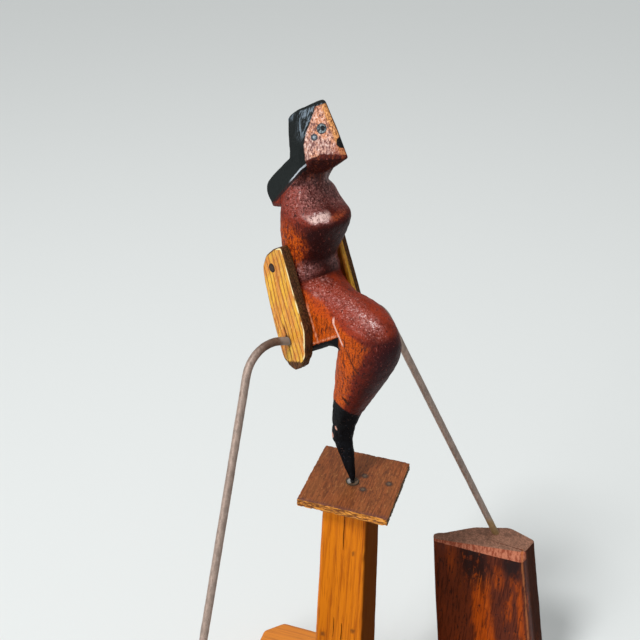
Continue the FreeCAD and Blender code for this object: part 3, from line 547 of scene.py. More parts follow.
    def bare(self):
        """Bare wood of the face, with its pores, its pale grain in front and a dark far side."""
        x, y, z = self.place
        pale = self.noise(3.4, 3, 0.6, stretch=(1, 1, 2))
        self.pores = pores = self.noise(0.9, 3, 0.65, stretch=(1, 1, 2.2))
        upper = (z - 189 + (x + 27) * 0.5 + self.ragged * 3).step(-4, 5)
        bare = self.mix((pale + upper * 0.14).step(0.50, 0.66), self.look.bare,
                        (0.68, 0.290, 0.165))
        bare.lay(pale.step(0.5, 0.38) * (1 - upper) * 0.5, (0.36, 0.20, 0.19))
        bare.lay(pores.step(0.51, 0.59) * 0.85, (0.15, 0.052, 0.050))
        bare.lay(pores.step(0.45, 0.37) * 0.7, (0.95, 0.76, 0.68))
        lines = self.noise(0.5, 2, 0.5, stretch=(1, 1, 10)).step(0.48, 0.62)
        bare.lay(self.side.step(2.4, 1.4) * 0.85,
                 self.mix(lines, (0.80, 0.36, 0.110), (0.20, 0.05, 0.010)))
        bare.lay(y.step(0.2, 0.5) * 0.92, (0.030, 0.012, 0.008))
        bare.lay(self.near(self.mirror, CHIN).step(5.5, 2.5) * 0.6, (0.33, 0.075, 0.035))
        return bare

    def paint(self, tone, daub):
        """Black hair, boot and seat; gives how far each spot is painted and is hair."""
        x, y, z = self.place
        look, ragged = self.look, self.ragged
        hairline = (-32.6 - x - (z - 190) * 0.05 + ragged * 1.0).step(-0.3, 0.3)
        over_nape = z - ((x + 57) * 1.06 + 146.6).most((x + 39.3) * 1.22 + 164.9) + ragged * 0.7
        nape = over_nape.step(-0.2, 0.2)
        over_crown = z - 197.6 - (x + 39) * 0.577 + ragged * 0.5
        crown = over_crown.step(-0.3, 0.3)
        hair = hairline * nape * self.facing[2].step(-0.90, -0.80) * z.step(142, 146)
        hair = hair.most(crown)
        boot = (54.1 - z - 0.26 * (x + 6.2) - 0.82 * (y + 9.1) + ragged * 1.2).step(-0.6, 0.6)
        boot = boot * z.step(64, 60)
        under_seat = 84.6 - z + (x + 16.7) * 0.71 + ragged * 1.6
        seat = under_seat.band(-0.4, 0.5, 7, 9) * x.step(3, 1)
        chips = (self.noise(1.2, 3, 0.7) - 0.69).step(0.0, 0.02)
        for point, outer, inner in PAINT_CHIPS:
            chips = chips.most(self.near(self.where, point).step(outer, inner))
        chips = (chips + ragged * 0.3).step(0.4, 0.6) * boot
        painted = hair.most(boot).most(seat) * (1 - chips)

        # Painted shade: a black strip on the neck just under the hair flick.
        flick_shadow = over_nape.step(-2.2, -1.4) * (1 - nape) * hairline * z.step(146, 150)
        tone.lay(flick_shadow * x.step(-31, -33) * 0.9, look.paint)
        tone.lay(chips * 0.9, look.bare)
        black = self.mix(hair, look.paint, (0.017, 0.020, 0.020))
        brush = self.noise(0.7, 2, 0.6, stretch=(1, 3, 7)).step(0.46, 0.60)
        # Painted sky reflection on the black hair: high by the face and below the crown's edge.
        hair_reflection = x.step(-41, -36) * z.step(184, 190) * hair * (1 - crown)
        hair_reflection = (hair_reflection * brush).most(over_crown.band(-3.2, -1.0, 0.2, 1.0) * brush * hair)
        black.lay(hair_reflection * 0.85, (0.20, 0.25, 0.30))
        # Painted highlight: a pale line along the hair's lower edge by the neck.
        rim = over_nape.step(1.4, 0.8) * x.step(-43, -39) * hair
        black.lay(rim * 0.85, (0.55, 0.60, 0.66))
        # Painted bluish sheen in spots on the black boot.
        black.lay(daub.step(0.66, 0.72) * boot * 0.6, (0.045, 0.060, 0.085))
        tone.lay(painted, black)
        return painted, hair

    def features(self, tone, jaw, daub):
        """Painted eye with its pupil, the ring under it, and the mouth."""
        ragged = self.ragged
        eye = (self.near(self.mirror, EYE) + ragged * 0.3) / in_mm(self.look, "eye")
        dot = (self.near(self.mirror, CHEEK_DOT) + ragged * 0.4) / in_mm(self.look, "cheek_dot")
        # Grey of the eye: partly grey paint, partly painted sky reflection on the black gloss.
        grey = self.mix(daub.step(0.40, 0.60), (0.035, 0.045, 0.055), (0.30, 0.36, 0.38))
        tone.lay(eye.step(1.06, 0.94) * jaw, grey)
        tone.lay(eye.band(1.12, 1.0, 0.9, 0.74) * jaw * 0.8, (0.025, 0.028, 0.032))
        pupil = self.near(self.mirror, PUPIL) + ragged * 0.5
        tone.lay(pupil.step(1.5, 1.0) * 0.95, (0.010, 0.010, 0.012))
        tone.lay(dot.step(1.08, 0.9), (0.060, 0.070, 0.085))
        # Pale middle of the dot: partly paint, partly painted sky reflection.
        tone.lay(dot.step(0.62, 0.38) * daub.step(0.35, 0.5), (0.40, 0.46, 0.52))
        mouth = self.near(self.where, MOUTH) + ragged * 0.9
        tone.lay(mouth.step(2.8, 2.4), (0.004, 0.004, 0.004))

    def cuts(self, tone):
        """The slit over the boot, and the long scratch in the thigh with its trail."""
        x, y, z = self.place
        ahead, up = x - SLIT[0], z - SLIT[1]
        slit = abs(ahead * 0.86 + up * 0.51).step(1.1, 0.5) * y.step(-5, -7)
        tone.lay(slit * (ahead * 0.51 - up * 0.86).band(-0.5, 2, 6, 8) * 0.9,
                 (0.020, 0.006, 0.004))
        ahead, up = x - SCRATCH[0], z - SCRATCH[1]
        across, along = abs(ahead * 0.77 + up * 0.63), ahead * 0.63 - up * 0.77
        near_side = y.step(-9, -11)
        scratch = across.step(0.75, 0.35) * along.band(-1, 1, 13, 15) * near_side
        tone.lay(scratch * 0.8, (0.80, 0.52, 0.45))
        trail = across.step(0.8, 0.3) * along.band(15, 17, 28, 34) * near_side
        tone.lay(trail * 0.75, (0.050, 0.012, 0.006))


def stained_carving():
    """Red stained wood, dark in front partly from painted shade, with painted highlights and
    painted hair, boot, seat, eye and mouth.
    """
    finish = Carving("stained_carving")
    x, _, z = finish.place
    body = finish.stain()
    bright_spots = finish.rub(body)
    jaw_line = ((x + 26.8) * 0.64 + 179.5).least((x + 23.7) * 0.25 + 181.4).least(182.3)
    jaw = (z - jaw_line + finish.ragged * 1.6).step(-0.4, 0.5)
    tone = finish.mix(jaw, body, finish.bare())
    daub = finish.noise(0.9, 2)
    painted, hair = finish.paint(tone, daub)
    finish.features(tone, jaw, daub)
    finish.cuts(tone)
    bare = jaw * (1 - painted)
    height = finish.speck * 0.75 + finish.fibre * 0.25 - finish.pores.step(0.5, 0.65) * jaw * 0.3
    return finish.surface(Base_Color=tone, Specular_IOR_Level=0.14, height=height, depth=0.8,
                          Roughness=0.34 + finish.speck * 0.10 + bare * 0.20 + hair * 0.08,
                          Coat_Weight=(0.03 + bright_spots * 0.36) * (1 - painted) + painted * 0.07,
                          Coat_Roughness=0.22,
                          matte=0.5 + painted * 0.3 - bright_spots * 0.4 - bare * 0.3)


def ringed_pine(name):
    """Yellow pine arms: coarse rings along the board, dark worn edges and lower end."""
    look = settings("arms")
    finish = Finish(name, turned=True)
    fine = finish.noise(0.6, 3, 0.65, stretch=(1, 1, 7))
    blotch = finish.noise(4.5, 3, 0.6, stretch=(1, 1, 2.5))
    gold = finish.noise(7.0, 2, 0.5, stretch=(1, 1, 2.5))
    late = (finish.stored("ring") + (fine - 0.5) * 1.1 + (blotch - 0.5) * 1.0).step(0.30, 0.80)
    tone = finish.mix(gold.step(0.40, 0.62), look.early, (0.66, 0.235, 0.035))
    tone.lay(late * 0.85, look.late)
    tone.lay(blotch.step(0.48, 0.7) * 0.5, (0.50, 0.16, 0.014))
    tone.lay(fine.step(0.42, 0.34) * 0.55, (0.88, 0.58, 0.14))
    tone.lay(fine.step(0.58, 0.70) * 0.5, look.late)
    tone.lay(finish.split(finish.where)[2].step(112, 132) * 0.35, (0.40, 0.150, 0.035))
    worn = (finish.stored("edge") + (blotch - 0.5) * 0.5 + (fine - 0.5) * 0.5).step(0.30, 0.55)
    dark = finish.mix(fine.step(0.44, 0.60) * 0.75, look.edge, (0.150, 0.060, 0.026))
    tone.lay(worn * 0.96, dark)
    # Painted highlight: a near-white line along the board's front edges.
    rub = finish.stored("rub") + (fine - 0.5) * 0.4
    tone.lay(rub.step(0.40, 0.70) * 0.9, (0.95, 0.82, 0.46))
    tone.lay(finish.stored("crack"), (0.020, 0.009, 0.005))
    height = late * 0.5 + fine * 0.5
    return finish.surface(Base_Color=tone, Roughness=0.36 + fine * 0.2, Coat_Weight=0.12,
                          Specular_IOR_Level=0.18, Coat_Roughness=0.2, height=height, depth=0.30,
                          matte=worn * 0.6)


def dark_billet():
    """Polished dark hardwood with black and orange mottling, and a dull sawn end."""
    look = settings("balance")
    finish = Finish("dark_billet", turned=True)
    fibre = finish.noise(1.3, 4, 0.6, stretch=(1, 1, 9))
    flame = finish.noise(6.5, 3, 0.6, stretch=(1, 1, 3.2), twist=0.4)
    blot = finish.noise(3.2, 3, 0.65, stretch=(1, 1, 1.8))
    across, drop = finish.stored("across"), finish.stored("drop")
    loose = (flame - 0.5) * 9 + (blot - 0.5) * 4
    spot = finish.join(across + loose, drop * 0.45 + loose, 0.0)
    heart = abs(across + loose * 0.7 + 9).step(7.5, 3.5) * (drop + loose * 0.8).step(17, 26)
    heart = heart.most(abs(across + loose * 0.5 - 15).step(3.0, 0.8) * drop.step(18, 28) * 0.8)
    heart = heart.most(abs(across + loose * 0.6 + 27).step(4.5, 1.0) * drop.step(34, 16) * 0.3)
    heart = heart.most(abs(across + loose * 0.6 - 2).step(5.0, 1.0)
                       * drop.band(10, 17, 24, 36) * 0.7)
    heart = heart.most((flame + (fibre - 0.5) * 0.6).step(0.56, 0.72)
                       * ((across + loose).step(-30, -12) * 0.5 + 0.15))
    tone = finish.mix(heart * (0.55 + fibre), look.billet, look.heart)
    soot = finish.near(spot, (12.0, 4.5, 0.0)).step(8.5, 3.0)
    soot = soot.most(finish.near(spot, (-12.0, 6.0, 0.0)).step(13.0, 5.0) * blot.step(0.34, 0.48))
    soot = soot.most((blot + (fibre - 0.5) * 0.6).step(0.60, 0.68) * 0.8)
    tone.lay(soot * 0.9, (0.010, 0.006, 0.007))
    tone.lay(fibre.step(0.52, 0.66) * 0.5, (0.035, 0.006, 0.003))
    streak = finish.noise(1.2, 3, 0.65, stretch=(1, 1, 16))
    tone.lay(streak.step(0.51, 0.60) * 0.55, (0.022, 0.004, 0.003))
    tone.lay(streak.step(0.42, 0.34) * heart * 0.6, (0.56, 0.110, 0.006))
    split = finish.stored("split")
    tone.lay(split * 0.75, (0.030, 0.011, 0.006))
    saw = finish.noise(1.0, 3, 0.7)
    end = (finish.stored("end") + (saw - 0.5) * 0.4).step(0.40, 0.60)
    dirt = finish.noise(6, 2, 0.6)
    cut = finish.mix(saw.step(0.38, 0.62), tint(look.sawn, 0.55), look.sawn)
    cut.lay(dirt.step(0.45, 0.65) * 0.6, (0.11, 0.060, 0.042))
    tone.lay(end, cut)
    bevel = (finish.stored("bevel") + (blot - 0.5) * 0.5).step(0.40, 0.60)
    torn = finish.mix(fibre.step(0.40, 0.60), (0.56, 0.20, 0.115), (0.30, 0.075, 0.040))
    tone.lay(bevel * 0.9, torn)
    edge = finish.stored("edge") + (finish.noise(2.5, 3, 0.6, stretch=(1, 1, 3)) - 0.5)
    tone.lay(edge.step(0.50, 1.00) * 0.75, (0.50, 0.15, 0.045))
    dull = end.most(split).most(bevel)
    height = saw * end + fibre * 0.5 * (1 - end)
    return finish.surface(Base_Color=tone, Roughness=0.30 + dull * 0.38 + fibre * 0.1,
                          Coat_Weight=0.22 * (1 - dull), Coat_Roughness=0.10,
                          Specular_IOR_Level=0.14, height=height, depth=0.3,
                          matte=0.55)


def rusty_wire():
    """Brown wire, rubbed smooth, with darker rust in patches."""
    look = settings("balance")
    finish = Finish("rusty_wire", turned=True)
    rust = finish.noise(2.6, 4, 0.6, stretch=(1, 1, 2.5))
    fine = finish.noise(0.9, 3, 0.6)
    streak = finish.noise(1.8, 3, 0.6, stretch=(1, 1, 8))
    tone = finish.mix((rust + (fine - 0.5) * 0.3).step(0.35, 0.65), tint(look.rust, 0.72),
                      tint(look.rust, 1.12))
    tone.lay((rust + streak * 0.4).step(0.78, 0.90) * 0.55, (0.115, 0.060, 0.040))
    tone.lay(streak.step(0.62, 0.72) * 0.35, (0.46, 0.40, 0.36))
    _, y, z = finish.split(finish.where)
    reach = abs(y) + (rust - 0.5) * 12
    tone.lay(reach.step(48, 34) * 0.75, (0.070, 0.036, 0.022))
    tone.lay(reach.step(28, 23) * 0.75, (0.32, 0.30, 0.29))
    tone.lay(z.step(-78, -84) * 0.65, (0.34, 0.20, 0.045))
    return finish.surface(Base_Color=tone, Metallic=0.25, Roughness=0.40 + rust * 0.15,
                          height=fine, depth=0.06, matte=reach.step(48, 34) * 0.6)


def old_nail(name, shade, middle):
    """Dark iron with a little brown rust, and its own colour where the head is dished."""
    finish = Finish(name)
    rust = finish.noise(0.8, 4, 0.65)
    tone = finish.mix(rust.step(0.40, 0.65), shade, tint(shade, 1.9, 1.3, 1.0))
    tone.lay((finish.stored("dish") + (rust - 0.5) * 0.8).step(0.4, 0.8), middle)
    return finish.surface(Base_Color=tone, Metallic=0.2, Roughness=0.50 + rust * 0.25,
                          Specular_IOR_Level=0.25, height=rust, depth=0.12)


def worn_steel():
    """Dirty dish with bright metal on one side of its middle."""
    look = settings("metal")
    finish = Finish("worn_steel")
    x, y, _ = finish.split(finish.where)
    scratch = finish.noise(0.7, 3, 0.6)
    far = finish.near(finish.join(x, y, 0.0), (0, 0, 0)) + (scratch - 0.5) * 0.8
    bright_spots = far.step(3.1, 2.6) * (x - y * 0.3 + (scratch - 0.5) * 1.2).step(-0.2, -1.0)
    tone = finish.mix(scratch.step(0.4, 0.6), (0.10, 0.060, 0.035), (0.20, 0.12, 0.07))
    tone.lay(bright_spots * 0.9, look.steel)
    tone.lay(far.step(2.7, 3.1) * 0.8, (0.040, 0.026, 0.018))
    return finish.surface(Base_Color=tone, Metallic=0.2, Roughness=0.45 + scratch * 0.2,
                          height=scratch, depth=0.05)


# Mesh building

def unit(vectors):
    """Vectors cut to length 1."""
    return vectors / np.maximum(np.linalg.norm(vectors, axis=1, keepdims=True), 1e-9)


def ripple(points, size, seed=0.0, stretch=(1, 1, 1)):
    """Smooth noise from -1 to 1 at each point, with features of about one size."""
    scaled = np.asarray(points) / (size * np.array(stretch))
    shift = Vector((seed, 2.3 * seed, 5.1 * seed))
    return np.array([noise.noise(Vector(p) + shift) for p in scaled])


def ramp(value, low, high):
    """Rise smoothly from 0 at low to 1 at high."""
    part = np.clip((value - low) / (high - low), 0, 1)
    return part * part * (3 - 2 * part)


def walk(corners, radius, step):
    """Even points round a polygon, anticlockwise, with its corners rounded."""
    corners = np.array(corners, float)
    line = []
    for before, corner, after in zip(np.roll(corners, 1, 0), corners, np.roll(corners, -1, 0)):
        back, ahead = before - corner, after - corner
        reach = min(radius, 0.45 * np.linalg.norm(back), 0.45 * np.linalg.norm(ahead))
        first = corner + reach * back / np.linalg.norm(back)
        last = corner + reach * ahead / np.linalg.norm(ahead)
        for t in np.linspace(0, 1, 7):
            line.append((1 - t) ** 2 * first + 2 * t * (1 - t) * corner + t * t * last)
    line = np.array(line)
    closed = np.vstack([line, line[:1]])
    run = np.concatenate([[0], np.cumsum(np.linalg.norm(np.diff(closed, axis=0), axis=1))])
    count = int(round(run[-1] / step))
    marks = np.arange(count) * run[-1] / count
    return np.stack([np.interp(marks, run, closed[:, i]) for i in (0, 1)], 1)


def inset(outline, depth):
    """Move an anticlockwise outline inward."""
    along = np.roll(outline, -1, 0) - np.roll(outline, 1, 0)
    return outline + unit(np.stack([-along[:, 1], along[:, 0]], 1)) * depth


def with_height(outline, height):
    """Give a flat outline its height."""
    return np.column_stack([outline, np.full(len(outline), height)])


def capped(rings, low_rows, high_rows, middle=0.0):
    """Close a row of level rings at both ends with rings that shrink towards the middle."""
    def cap(ring, rows):
        shares = np.linspace(1, 0, rows + 1)[1:]
        shares[-1] = 0.25 * shares[-2]
        return [with_height(middle + (ring[:, :2] - middle) * share, ring[0, 2])
                for share in shares]
    return cap(rings[0], low_rows)[::-1] + rings + cap(rings[-1], high_rows)


def slab(outline, low, high, edge, side_rows, cap_rows):
    """Rings over a board: from the middle of its underside, round its edge, to its middle."""
    turns = [(math.sin(t), math.cos(t)) for t in np.linspace(0, math.pi / 2, 5)]
    rows = [(edge * (1 - sine), low + edge * (1 - cosine)) for sine, cosine in turns]
    rows += [(0, height) for height in np.linspace(low + edge, high - edge, side_rows + 2)[1:-1]]
    rows += [(edge * (1 - cosine), high - edge * (1 - sine)) for sine, cosine in turns]
    return capped([with_height(inset(outline, depth), height) for depth, height in rows],
                  cap_rows, cap_rows)


def skin(rings):
    """Points and faces over a row of closed rings, closed at both ends."""
    count = len(rings[0])
    faces = []
    for row in range(len(rings) - 1):
        for i in range(count):
            near = row * count + i
            nearer = row * count + (i + 1) % count
            faces.append((near, nearer, nearer + count, near + count))
    faces.append(tuple(range(count))[::-1])
    last = (len(rings) - 1) * count
    faces.append(tuple(range(last, last + count)))
    return np.vstack(rings), faces


def new_object(name, points, faces):
    """Put a mesh of points and faces into the scene."""
    mesh = bpy.data.meshes.new(name)
    mesh.from_pydata([tuple(p) for p in points], [], faces)
    mesh.update()
    piece = bpy.data.objects.new(name, mesh)
    bpy.context.scene.collection.objects.link(piece)
    return piece


def read(piece, what="co"):
    """A mesh's points, or with "normal" the outward directions there, as rows of three."""
    values = np.empty(3 * len(piece.data.vertices))
    piece.data.vertices.foreach_get(what, values)
    return values.reshape(-1, 3)


def start(name, rings):
    """A new piece over a row of rings, its points and the outward directions there."""
    piece = new_object(name, *skin(rings))
    return piece, read(piece), read(piece, "normal")


def write_points(piece, points, **numbers):
    """Move a mesh's points, and keep numbers on them for the piece's material."""
    piece.data.vertices.foreach_set("co", np.ascontiguousarray(points, float).ravel())
    piece.data.update()
    for name, values in numbers.items():
        layer = piece.data.attributes.new(name, "FLOAT", "POINT")
        layer.data.foreach_set("value", np.asarray(values, np.float32))


def remesh(piece, cell):
    """Join everything in a mesh into one even skin."""
    modifier = piece.modifiers.new("join", "REMESH")
    modifier.mode = "VOXEL"
    modifier.voxel_size = cell
    graph = bpy.context.evaluated_depsgraph_get()
    joined = bpy.data.meshes.new_from_object(piece.evaluated_get(graph))
    piece.modifiers.clear()
    rough = piece.data
    piece.data = joined
    bpy.data.meshes.remove(rough)


def relax(piece, weight, rounds, swell):
    """Smooth a mesh, each point by its own weight, and swell it back after each round."""
    points = read(piece)
    edges = np.empty(2 * len(piece.data.edges), int)
    piece.data.edges.foreach_get("vertices", edges)
    a, b = edges.reshape(-1, 2).T
    degree = np.bincount(edges, minlength=len(points))[:, None]
    weight = np.asarray(weight)[:, None]
    for _ in range(rounds):
        for pull in (0.5, swell):
            total = np.zeros_like(points)
            np.add.at(total, a, points[b])
            np.add.at(total, b, points[a])
            points = points + pull * weight * (total / degree - points)
    write_points(piece, points)


def finish_piece(piece, place, material, body, slot, *nodes, crease=35):
    """Set a shaped mesh in its frame, give it its finish and let it ride on its body."""
    piece.data.transform(place)
    piece.data.materials.clear()
    piece.data.materials.append(material)
    piece.data.shade_smooth()
    piece.data.set_sharp_from_angle(angle=math.radians(crease))
    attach(piece, body)
    if nodes:
        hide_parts(*nodes)
    return piece


# Stand

POST_HALF_WIDTH = (16.5, 12.75)  # at the foot and at the head
POST_HALF_DEPTH = (18.0, 14.0)
MARKED_HALF_WIDTH = 14  # of the post, where the places of its cracks are given
POST_CRACKS = [
    # middle x, top z, bottom z, half width, share of the full depth
    (0.4, 221.0, 195.0, 0.22, 1.0),
    (-3.4, 143.5, 126.0, 0.16, 0.5),
    (1.7, 140.5, 118.0, 0.16, 0.5),
]
POST_KNOTS = [(6.1, 195.1, 1.2), (8.3, 137.1, 1.7), (-9.7, 128.3, 1.8)]  # x, z, radius
NAIL_SPOTS = [(5.1, 6.8), (7.2, -4.6), (19.3, 4.6)]


def row_box(node):
    """A node's box in millimetres."""
    low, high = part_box(node)
    return np.array(low) / MM, np.array(high) / MM


def shape_base():
    """Square base board with clipped corners and a worn upper edge."""
    sizes = settings("stand")
    low, high = row_box("base_board")
    half, top = high[0], high[2]
    cut = half - in_mm(sizes, "corner_cut")
    corners = [(half, -cut), (half, cut), (cut, half), (-cut, half), (-half, cut),
               (-half, -cut), (-cut, -half), (cut, -half)]
    rings = slab(walk(corners, 1.5, 1.6), low[2], top, in_mm(sizes, "base_edge"), 9, 26)
    piece, points, normals = start("base", rings)
    rim = ramp(np.abs(points[:, :2]).max(1), half - 3, half) * ramp(points[:, 2], top - 4, top)
    dent = ripple(points, 9, 3.0) * 0.25 + ripple(points, 2.5, 8.0) * 0.12
    points -= normals * (np.abs(dent) * rim)[:, None]
    waves = ripple(points, 24, 5.0, (4, 1, 1)) * 0.12
    points[:, 2] -= np.abs(waves) * (points[:, 2] > top - 0.5)
    write_points(piece, points, knot=0 * waves, crack=0 * waves)
    material = varnished_pine("pine_base", "X", (30.0, -38.0), 0.03, 3.1, 0.3)
    return finish_piece(piece, ROW, material, "stand", "pine_base", "base_board")


def front_marks(reach):
    """Places across the post's front, as shares of its half width, gathered at the cracks."""
    marks = np.linspace(-1 + reach, 1 - reach, 27)
    for middle, _, _, half, _ in POST_CRACKS:
        middle, half = middle / MARKED_HALF_WIDTH, half / MARKED_HALF_WIDTH
        marks = marks[np.abs(marks - middle) > 3.6 * half]
        marks = np.concatenate([marks, middle + np.array([-3, -1, 0, 1, 3]) * half])
    return np.sort(marks)


def post_ring(height, share, edge):
    """One ring round the tapered post, with its front points gathered at the cracks."""
    x, y = (np.interp(share, (0, 1), half) for half in (POST_HALF_WIDTH, POST_HALF_DEPTH))
    reach = 1.6 * edge
    across = front_marks(0.16) * x
    runs = [np.column_stack([across, np.full(len(across), -y)])]
    flat = np.linspace(0, 1, 22)[1:-1, None]
    for quarter, (to_x, to_y) in enumerate(((1, -1), (1, 1), (-1, 1), (-1, -1))):
        turn = np.linspace(0, math.pi / 2, 6) + (quarter - 1) * math.pi / 2
        arc = np.column_stack([to_x * (x - reach) + reach * np.cos(turn),
                               to_y * (y - reach) + reach * np.sin(turn)])
        if quarter:
            runs.append(runs[-1][-1] + flat * (arc[0] - runs[-1][-1]))
        runs.append(arc)
    return with_height(np.vstack(runs), height)


def shape_post():
    """Square tapered post with rounded edges, drying cracks and knots."""
    sizes = settings("stand")
    low, high = (corner[2] for corner in row_box("post"))
    edge, depth = in_mm(sizes, "post_edge"), in_mm(sizes, "crack_depth")
    rings = [post_ring(z, (z - low) / (high - low), edge) for z in np.linspace(low, high, 130)]
    piece, points, normals = start("post_shaft", capped(rings, 3, 3))
    x, y, z = points.T
    crack, knot, sink, swell = np.zeros((4, len(points)))
    front = ramp(-y, 12.0, 13.5)
    scale = np.interp(z, (low, high), POST_HALF_WIDTH) / MARKED_HALF_WIDTH
    for middle, top, bottom, half, deep in POST_CRACKS:
        drift = ripple(points * (0, 0, 1), 16, middle) * 0.7
        run = ramp(z, bottom, bottom + 8) * ramp(z, top, top - 3) * front
        gap = np.abs(x - middle * scale) / half
        x += np.exp(-(gap * half / 3) ** 2) * drift * front
        sink += np.clip(1 - gap, 0, 1) * run * depth * deep
        crack = np.maximum(crack, np.clip(1.15 - gap, 0, 1) * run)
    for knot_x, knot_z, radius in POST_KNOTS:
        far = np.hypot(x - knot_x, (z - knot_z) / 1.25) / radius
        knot = np.maximum(knot, ramp(far, 1.1, 0.5) * front)
        swell += np.exp(-far ** 2) * 0.25 * front
    shave = ripple(points, 11, 4.0, (1, 1, 3.5)) * 0.16 + ripple(points, 3, 9.0, (1, 1, 4)) * 0.05
    corner = np.abs(normals[:, 0] * normals[:, 1]) * 2
    shave -= corner * np.abs(ripple(points, 5, 2.0, (1, 1, 2))) * 0.5
    side = 1 - np.abs(normals[:, 2])
    points += normals * ((shave - 0.16 - sink + swell * 0.5) * side)[:, None]
    write_points(piece, points, crack=crack, knot=knot)
    material = varnished_pine("pine_post", "Z", (-30.0, 46.0), 0.006, 1.9, 0.0)
    return finish_piece(piece, ROW, material, "stand", "pine_post", "post")


def shape_platform():
    """Small platform board, bored for the dish, with chipped edges and stains at its nails."""
    sizes = settings("stand")
    low, high = row_box("platform")
    top = high[2]
    hole = row_box("pivot_cup")[1][0] + 0.08
    edge = in_mm(sizes, "platform_edge")
    outline = walk([(high[0], low[1]), high[:2], (low[0], high[1]), low[:2]], 0.8, 0.5)
    angles = np.arctan2(outline[:, 1], outline[:, 0])
    bore = np.column_stack([np.cos(angles), np.sin(angles)]) * hole
    inner = inset(outline, edge)
    rings = slab(outline, low[2], top, edge, 10, 12)[:-12]
    rings += [with_height(inner + (bore - inner) * share, top)
              for share in np.linspace(0, 1, 34)[1:] ** 1.25]
    rings += [with_height(bore, top - depth) for depth in (0.7, 1.4, 2.1)]
    rings.append(with_height(bore * 0.4, top - 2.1))
    piece, points, normals = start("platform_board", rings)
    out = np.abs(2 * points - low - high) / (high - low)
    rim = ramp(out[:, :2].max(1), 0.955, 0.990)
    side = ramp(np.hypot(normals[:, 0], normals[:, 1]), 0.3, 0.9)
    chips = np.clip(ripple(points, 2.6, 3.0) * 1.3, 0, 1)
    chips = rim * (chips + 0.6 * np.clip(ripple(points, 1.2, 6.0), 0, 1))
    layers = np.clip(ripple(points, 0.9, 11.0, (4.5, 4.5, 0.8)) + 0.1, 0, 1) * 1.1
    wear = (chips * 0.8 + side * layers) * in_mm(sizes, "platform_wear")
    points -= normals * wear[:, None]
    face = ramp(points[:, 2], top - 0.3, top - 0.1)
    points[:, 2] -= np.abs(ripple(points, 12, 7.0, (0.7, 2.5, 1))) * 0.12 * face
    x, y = points.T[:2]
    stain = 0.8 * np.exp(-((np.hypot(x, y) - hole) / 0.7) ** 2)
    for nail_x, nail_y in NAIL_SPOTS:
        far = np.hypot(x - nail_x, y - nail_y)
        stain = np.maximum(stain, np.exp(-((far - 1.75) / 0.55) ** 2))
    write_points(piece, points, stain=stain * face, wear=np.clip(side * 0.9 + chips * 0.7, 0, 1))
    return finish_piece(piece, ROW, oiled_plank(), "stand", "platform_wood", "platform")


def nail_head(name, radius, depth, seed):
    """Hammered nail head with its top at the origin and a shallow dish in its middle."""
    profile = [(0.3 / radius, -3.0), (0.45, -3.0), (0.45, -1.0), (0.94, -1.0), (1.0, -0.7),
               (1.0, -0.35), (0.93, -0.08), (0.80, 0.0), (0.66, 0.0), (0.54, -0.04),
               (0.32, -0.07), (0.10, -0.08)]
    spin = np.linspace(0, 2 * math.pi, 40, endpoint=False)
    around = radius * np.column_stack([np.cos(spin), np.sin(spin)])
    piece, points, _ = start(name, [with_height(around * share, depth * height)
                                    for share, height in profile])
    far = np.hypot(points[:, 0], points[:, 1]) / radius
    knock = np.abs(ripple(points, 0.8 * radius, seed)) * 0.10
    points[:, :2] *= 1 - (knock * ramp(far, 0.5, 1.0))[:, None]
    points[:, 2] -= np.abs(ripple(points, 0.5 * radius, seed + 4)) * 0.05 * depth
    write_points(piece, points, dish=ramp(far, 0.75, 0.45))
    return piece


def shape_platform_nails():
    """Three nail heads, sunk level with the platform."""
    material = old_nail("nail_iron", settings("metal").nail, (0.155, 0.095, 0.060))
    pieces = (("platform_nail_back", "platform_nails"), ("platform_nail_front", "platform_nails"),
              ("platform_tack_head", "platform_tack"))
    for i, ((name, node), (x, y)) in enumerate(zip(pieces, NAIL_SPOTS)):
        place = ROW @ Matrix.Translation((x, y, PLATFORM_TOP + 0.10))
        finish_piece(nail_head(name, 1.6, 0.8, 3.0 * i), place, material, "stand", "nail_steel",
                     node)


# Carved figure

# Sections of the carving: middle x and z, lean of the fore-and-aft line in degrees, reach fore
# and aft, half width, and how square the fore and aft halves are (2 is an ellipse).
TRUNK = [
    (-38, 180, -12, 7.6, 7.5, 7.8, 2.2, 2.2),
    (-38, 173, -10, 6.6, 7.6, 7.4, 2.2, 2.2),
    (-38.3, 167, -8, 5.6, 7.6, 7.4, 2.2, 2.3),
    (-38.5, 162.6, -7, 5.2, 8.0, 7.8, 2.2, 2.3),
    (-38.4, 159.4, -7, 6.6, 9.8, 11.4, 2.3, 2.3),
    (-37.5, 152.5, -4, 12.2, 12.2, 15.0, 2.3, 2.4),
    (-37, 147.5, -2, 17.6, 13.2, 16.9, 2.4, 2.4),
    (-37, 142, 0, 17.0, 13.4, 17.0, 2.4, 2.4),
    (-37, 134.5, 1, 13.6, 13.2, 16.4, 2.3, 2.5),
    (-37.2, 127, 3, 10.4, 13.0, 15.2, 2.2, 2.6),
    (-37.5, 121, 5, 8.9, 13.0, 14.6, 2.2, 2.8),
    (-37.2, 114.5, 20, 11.2, 14.2, 15.6, 2.2, 3.2),
    (-36.5, 105, 42, 14.8, 16.2, 16.4, 2.3, 4.0),
    (-24, 92, 63, 22.0, 23.2, 16.4, 2.3, 5.0),
    (-5, 98, 70, 12.6, 13.8, 16.2, 2.3, 3.6),
    (8, 96, 56, 10.8, 10.6, 14.8, 2.3, 2.8),
    (13, 93.5, 42, 8.4, 8.0, 11.6, 2.2, 2.2),
]
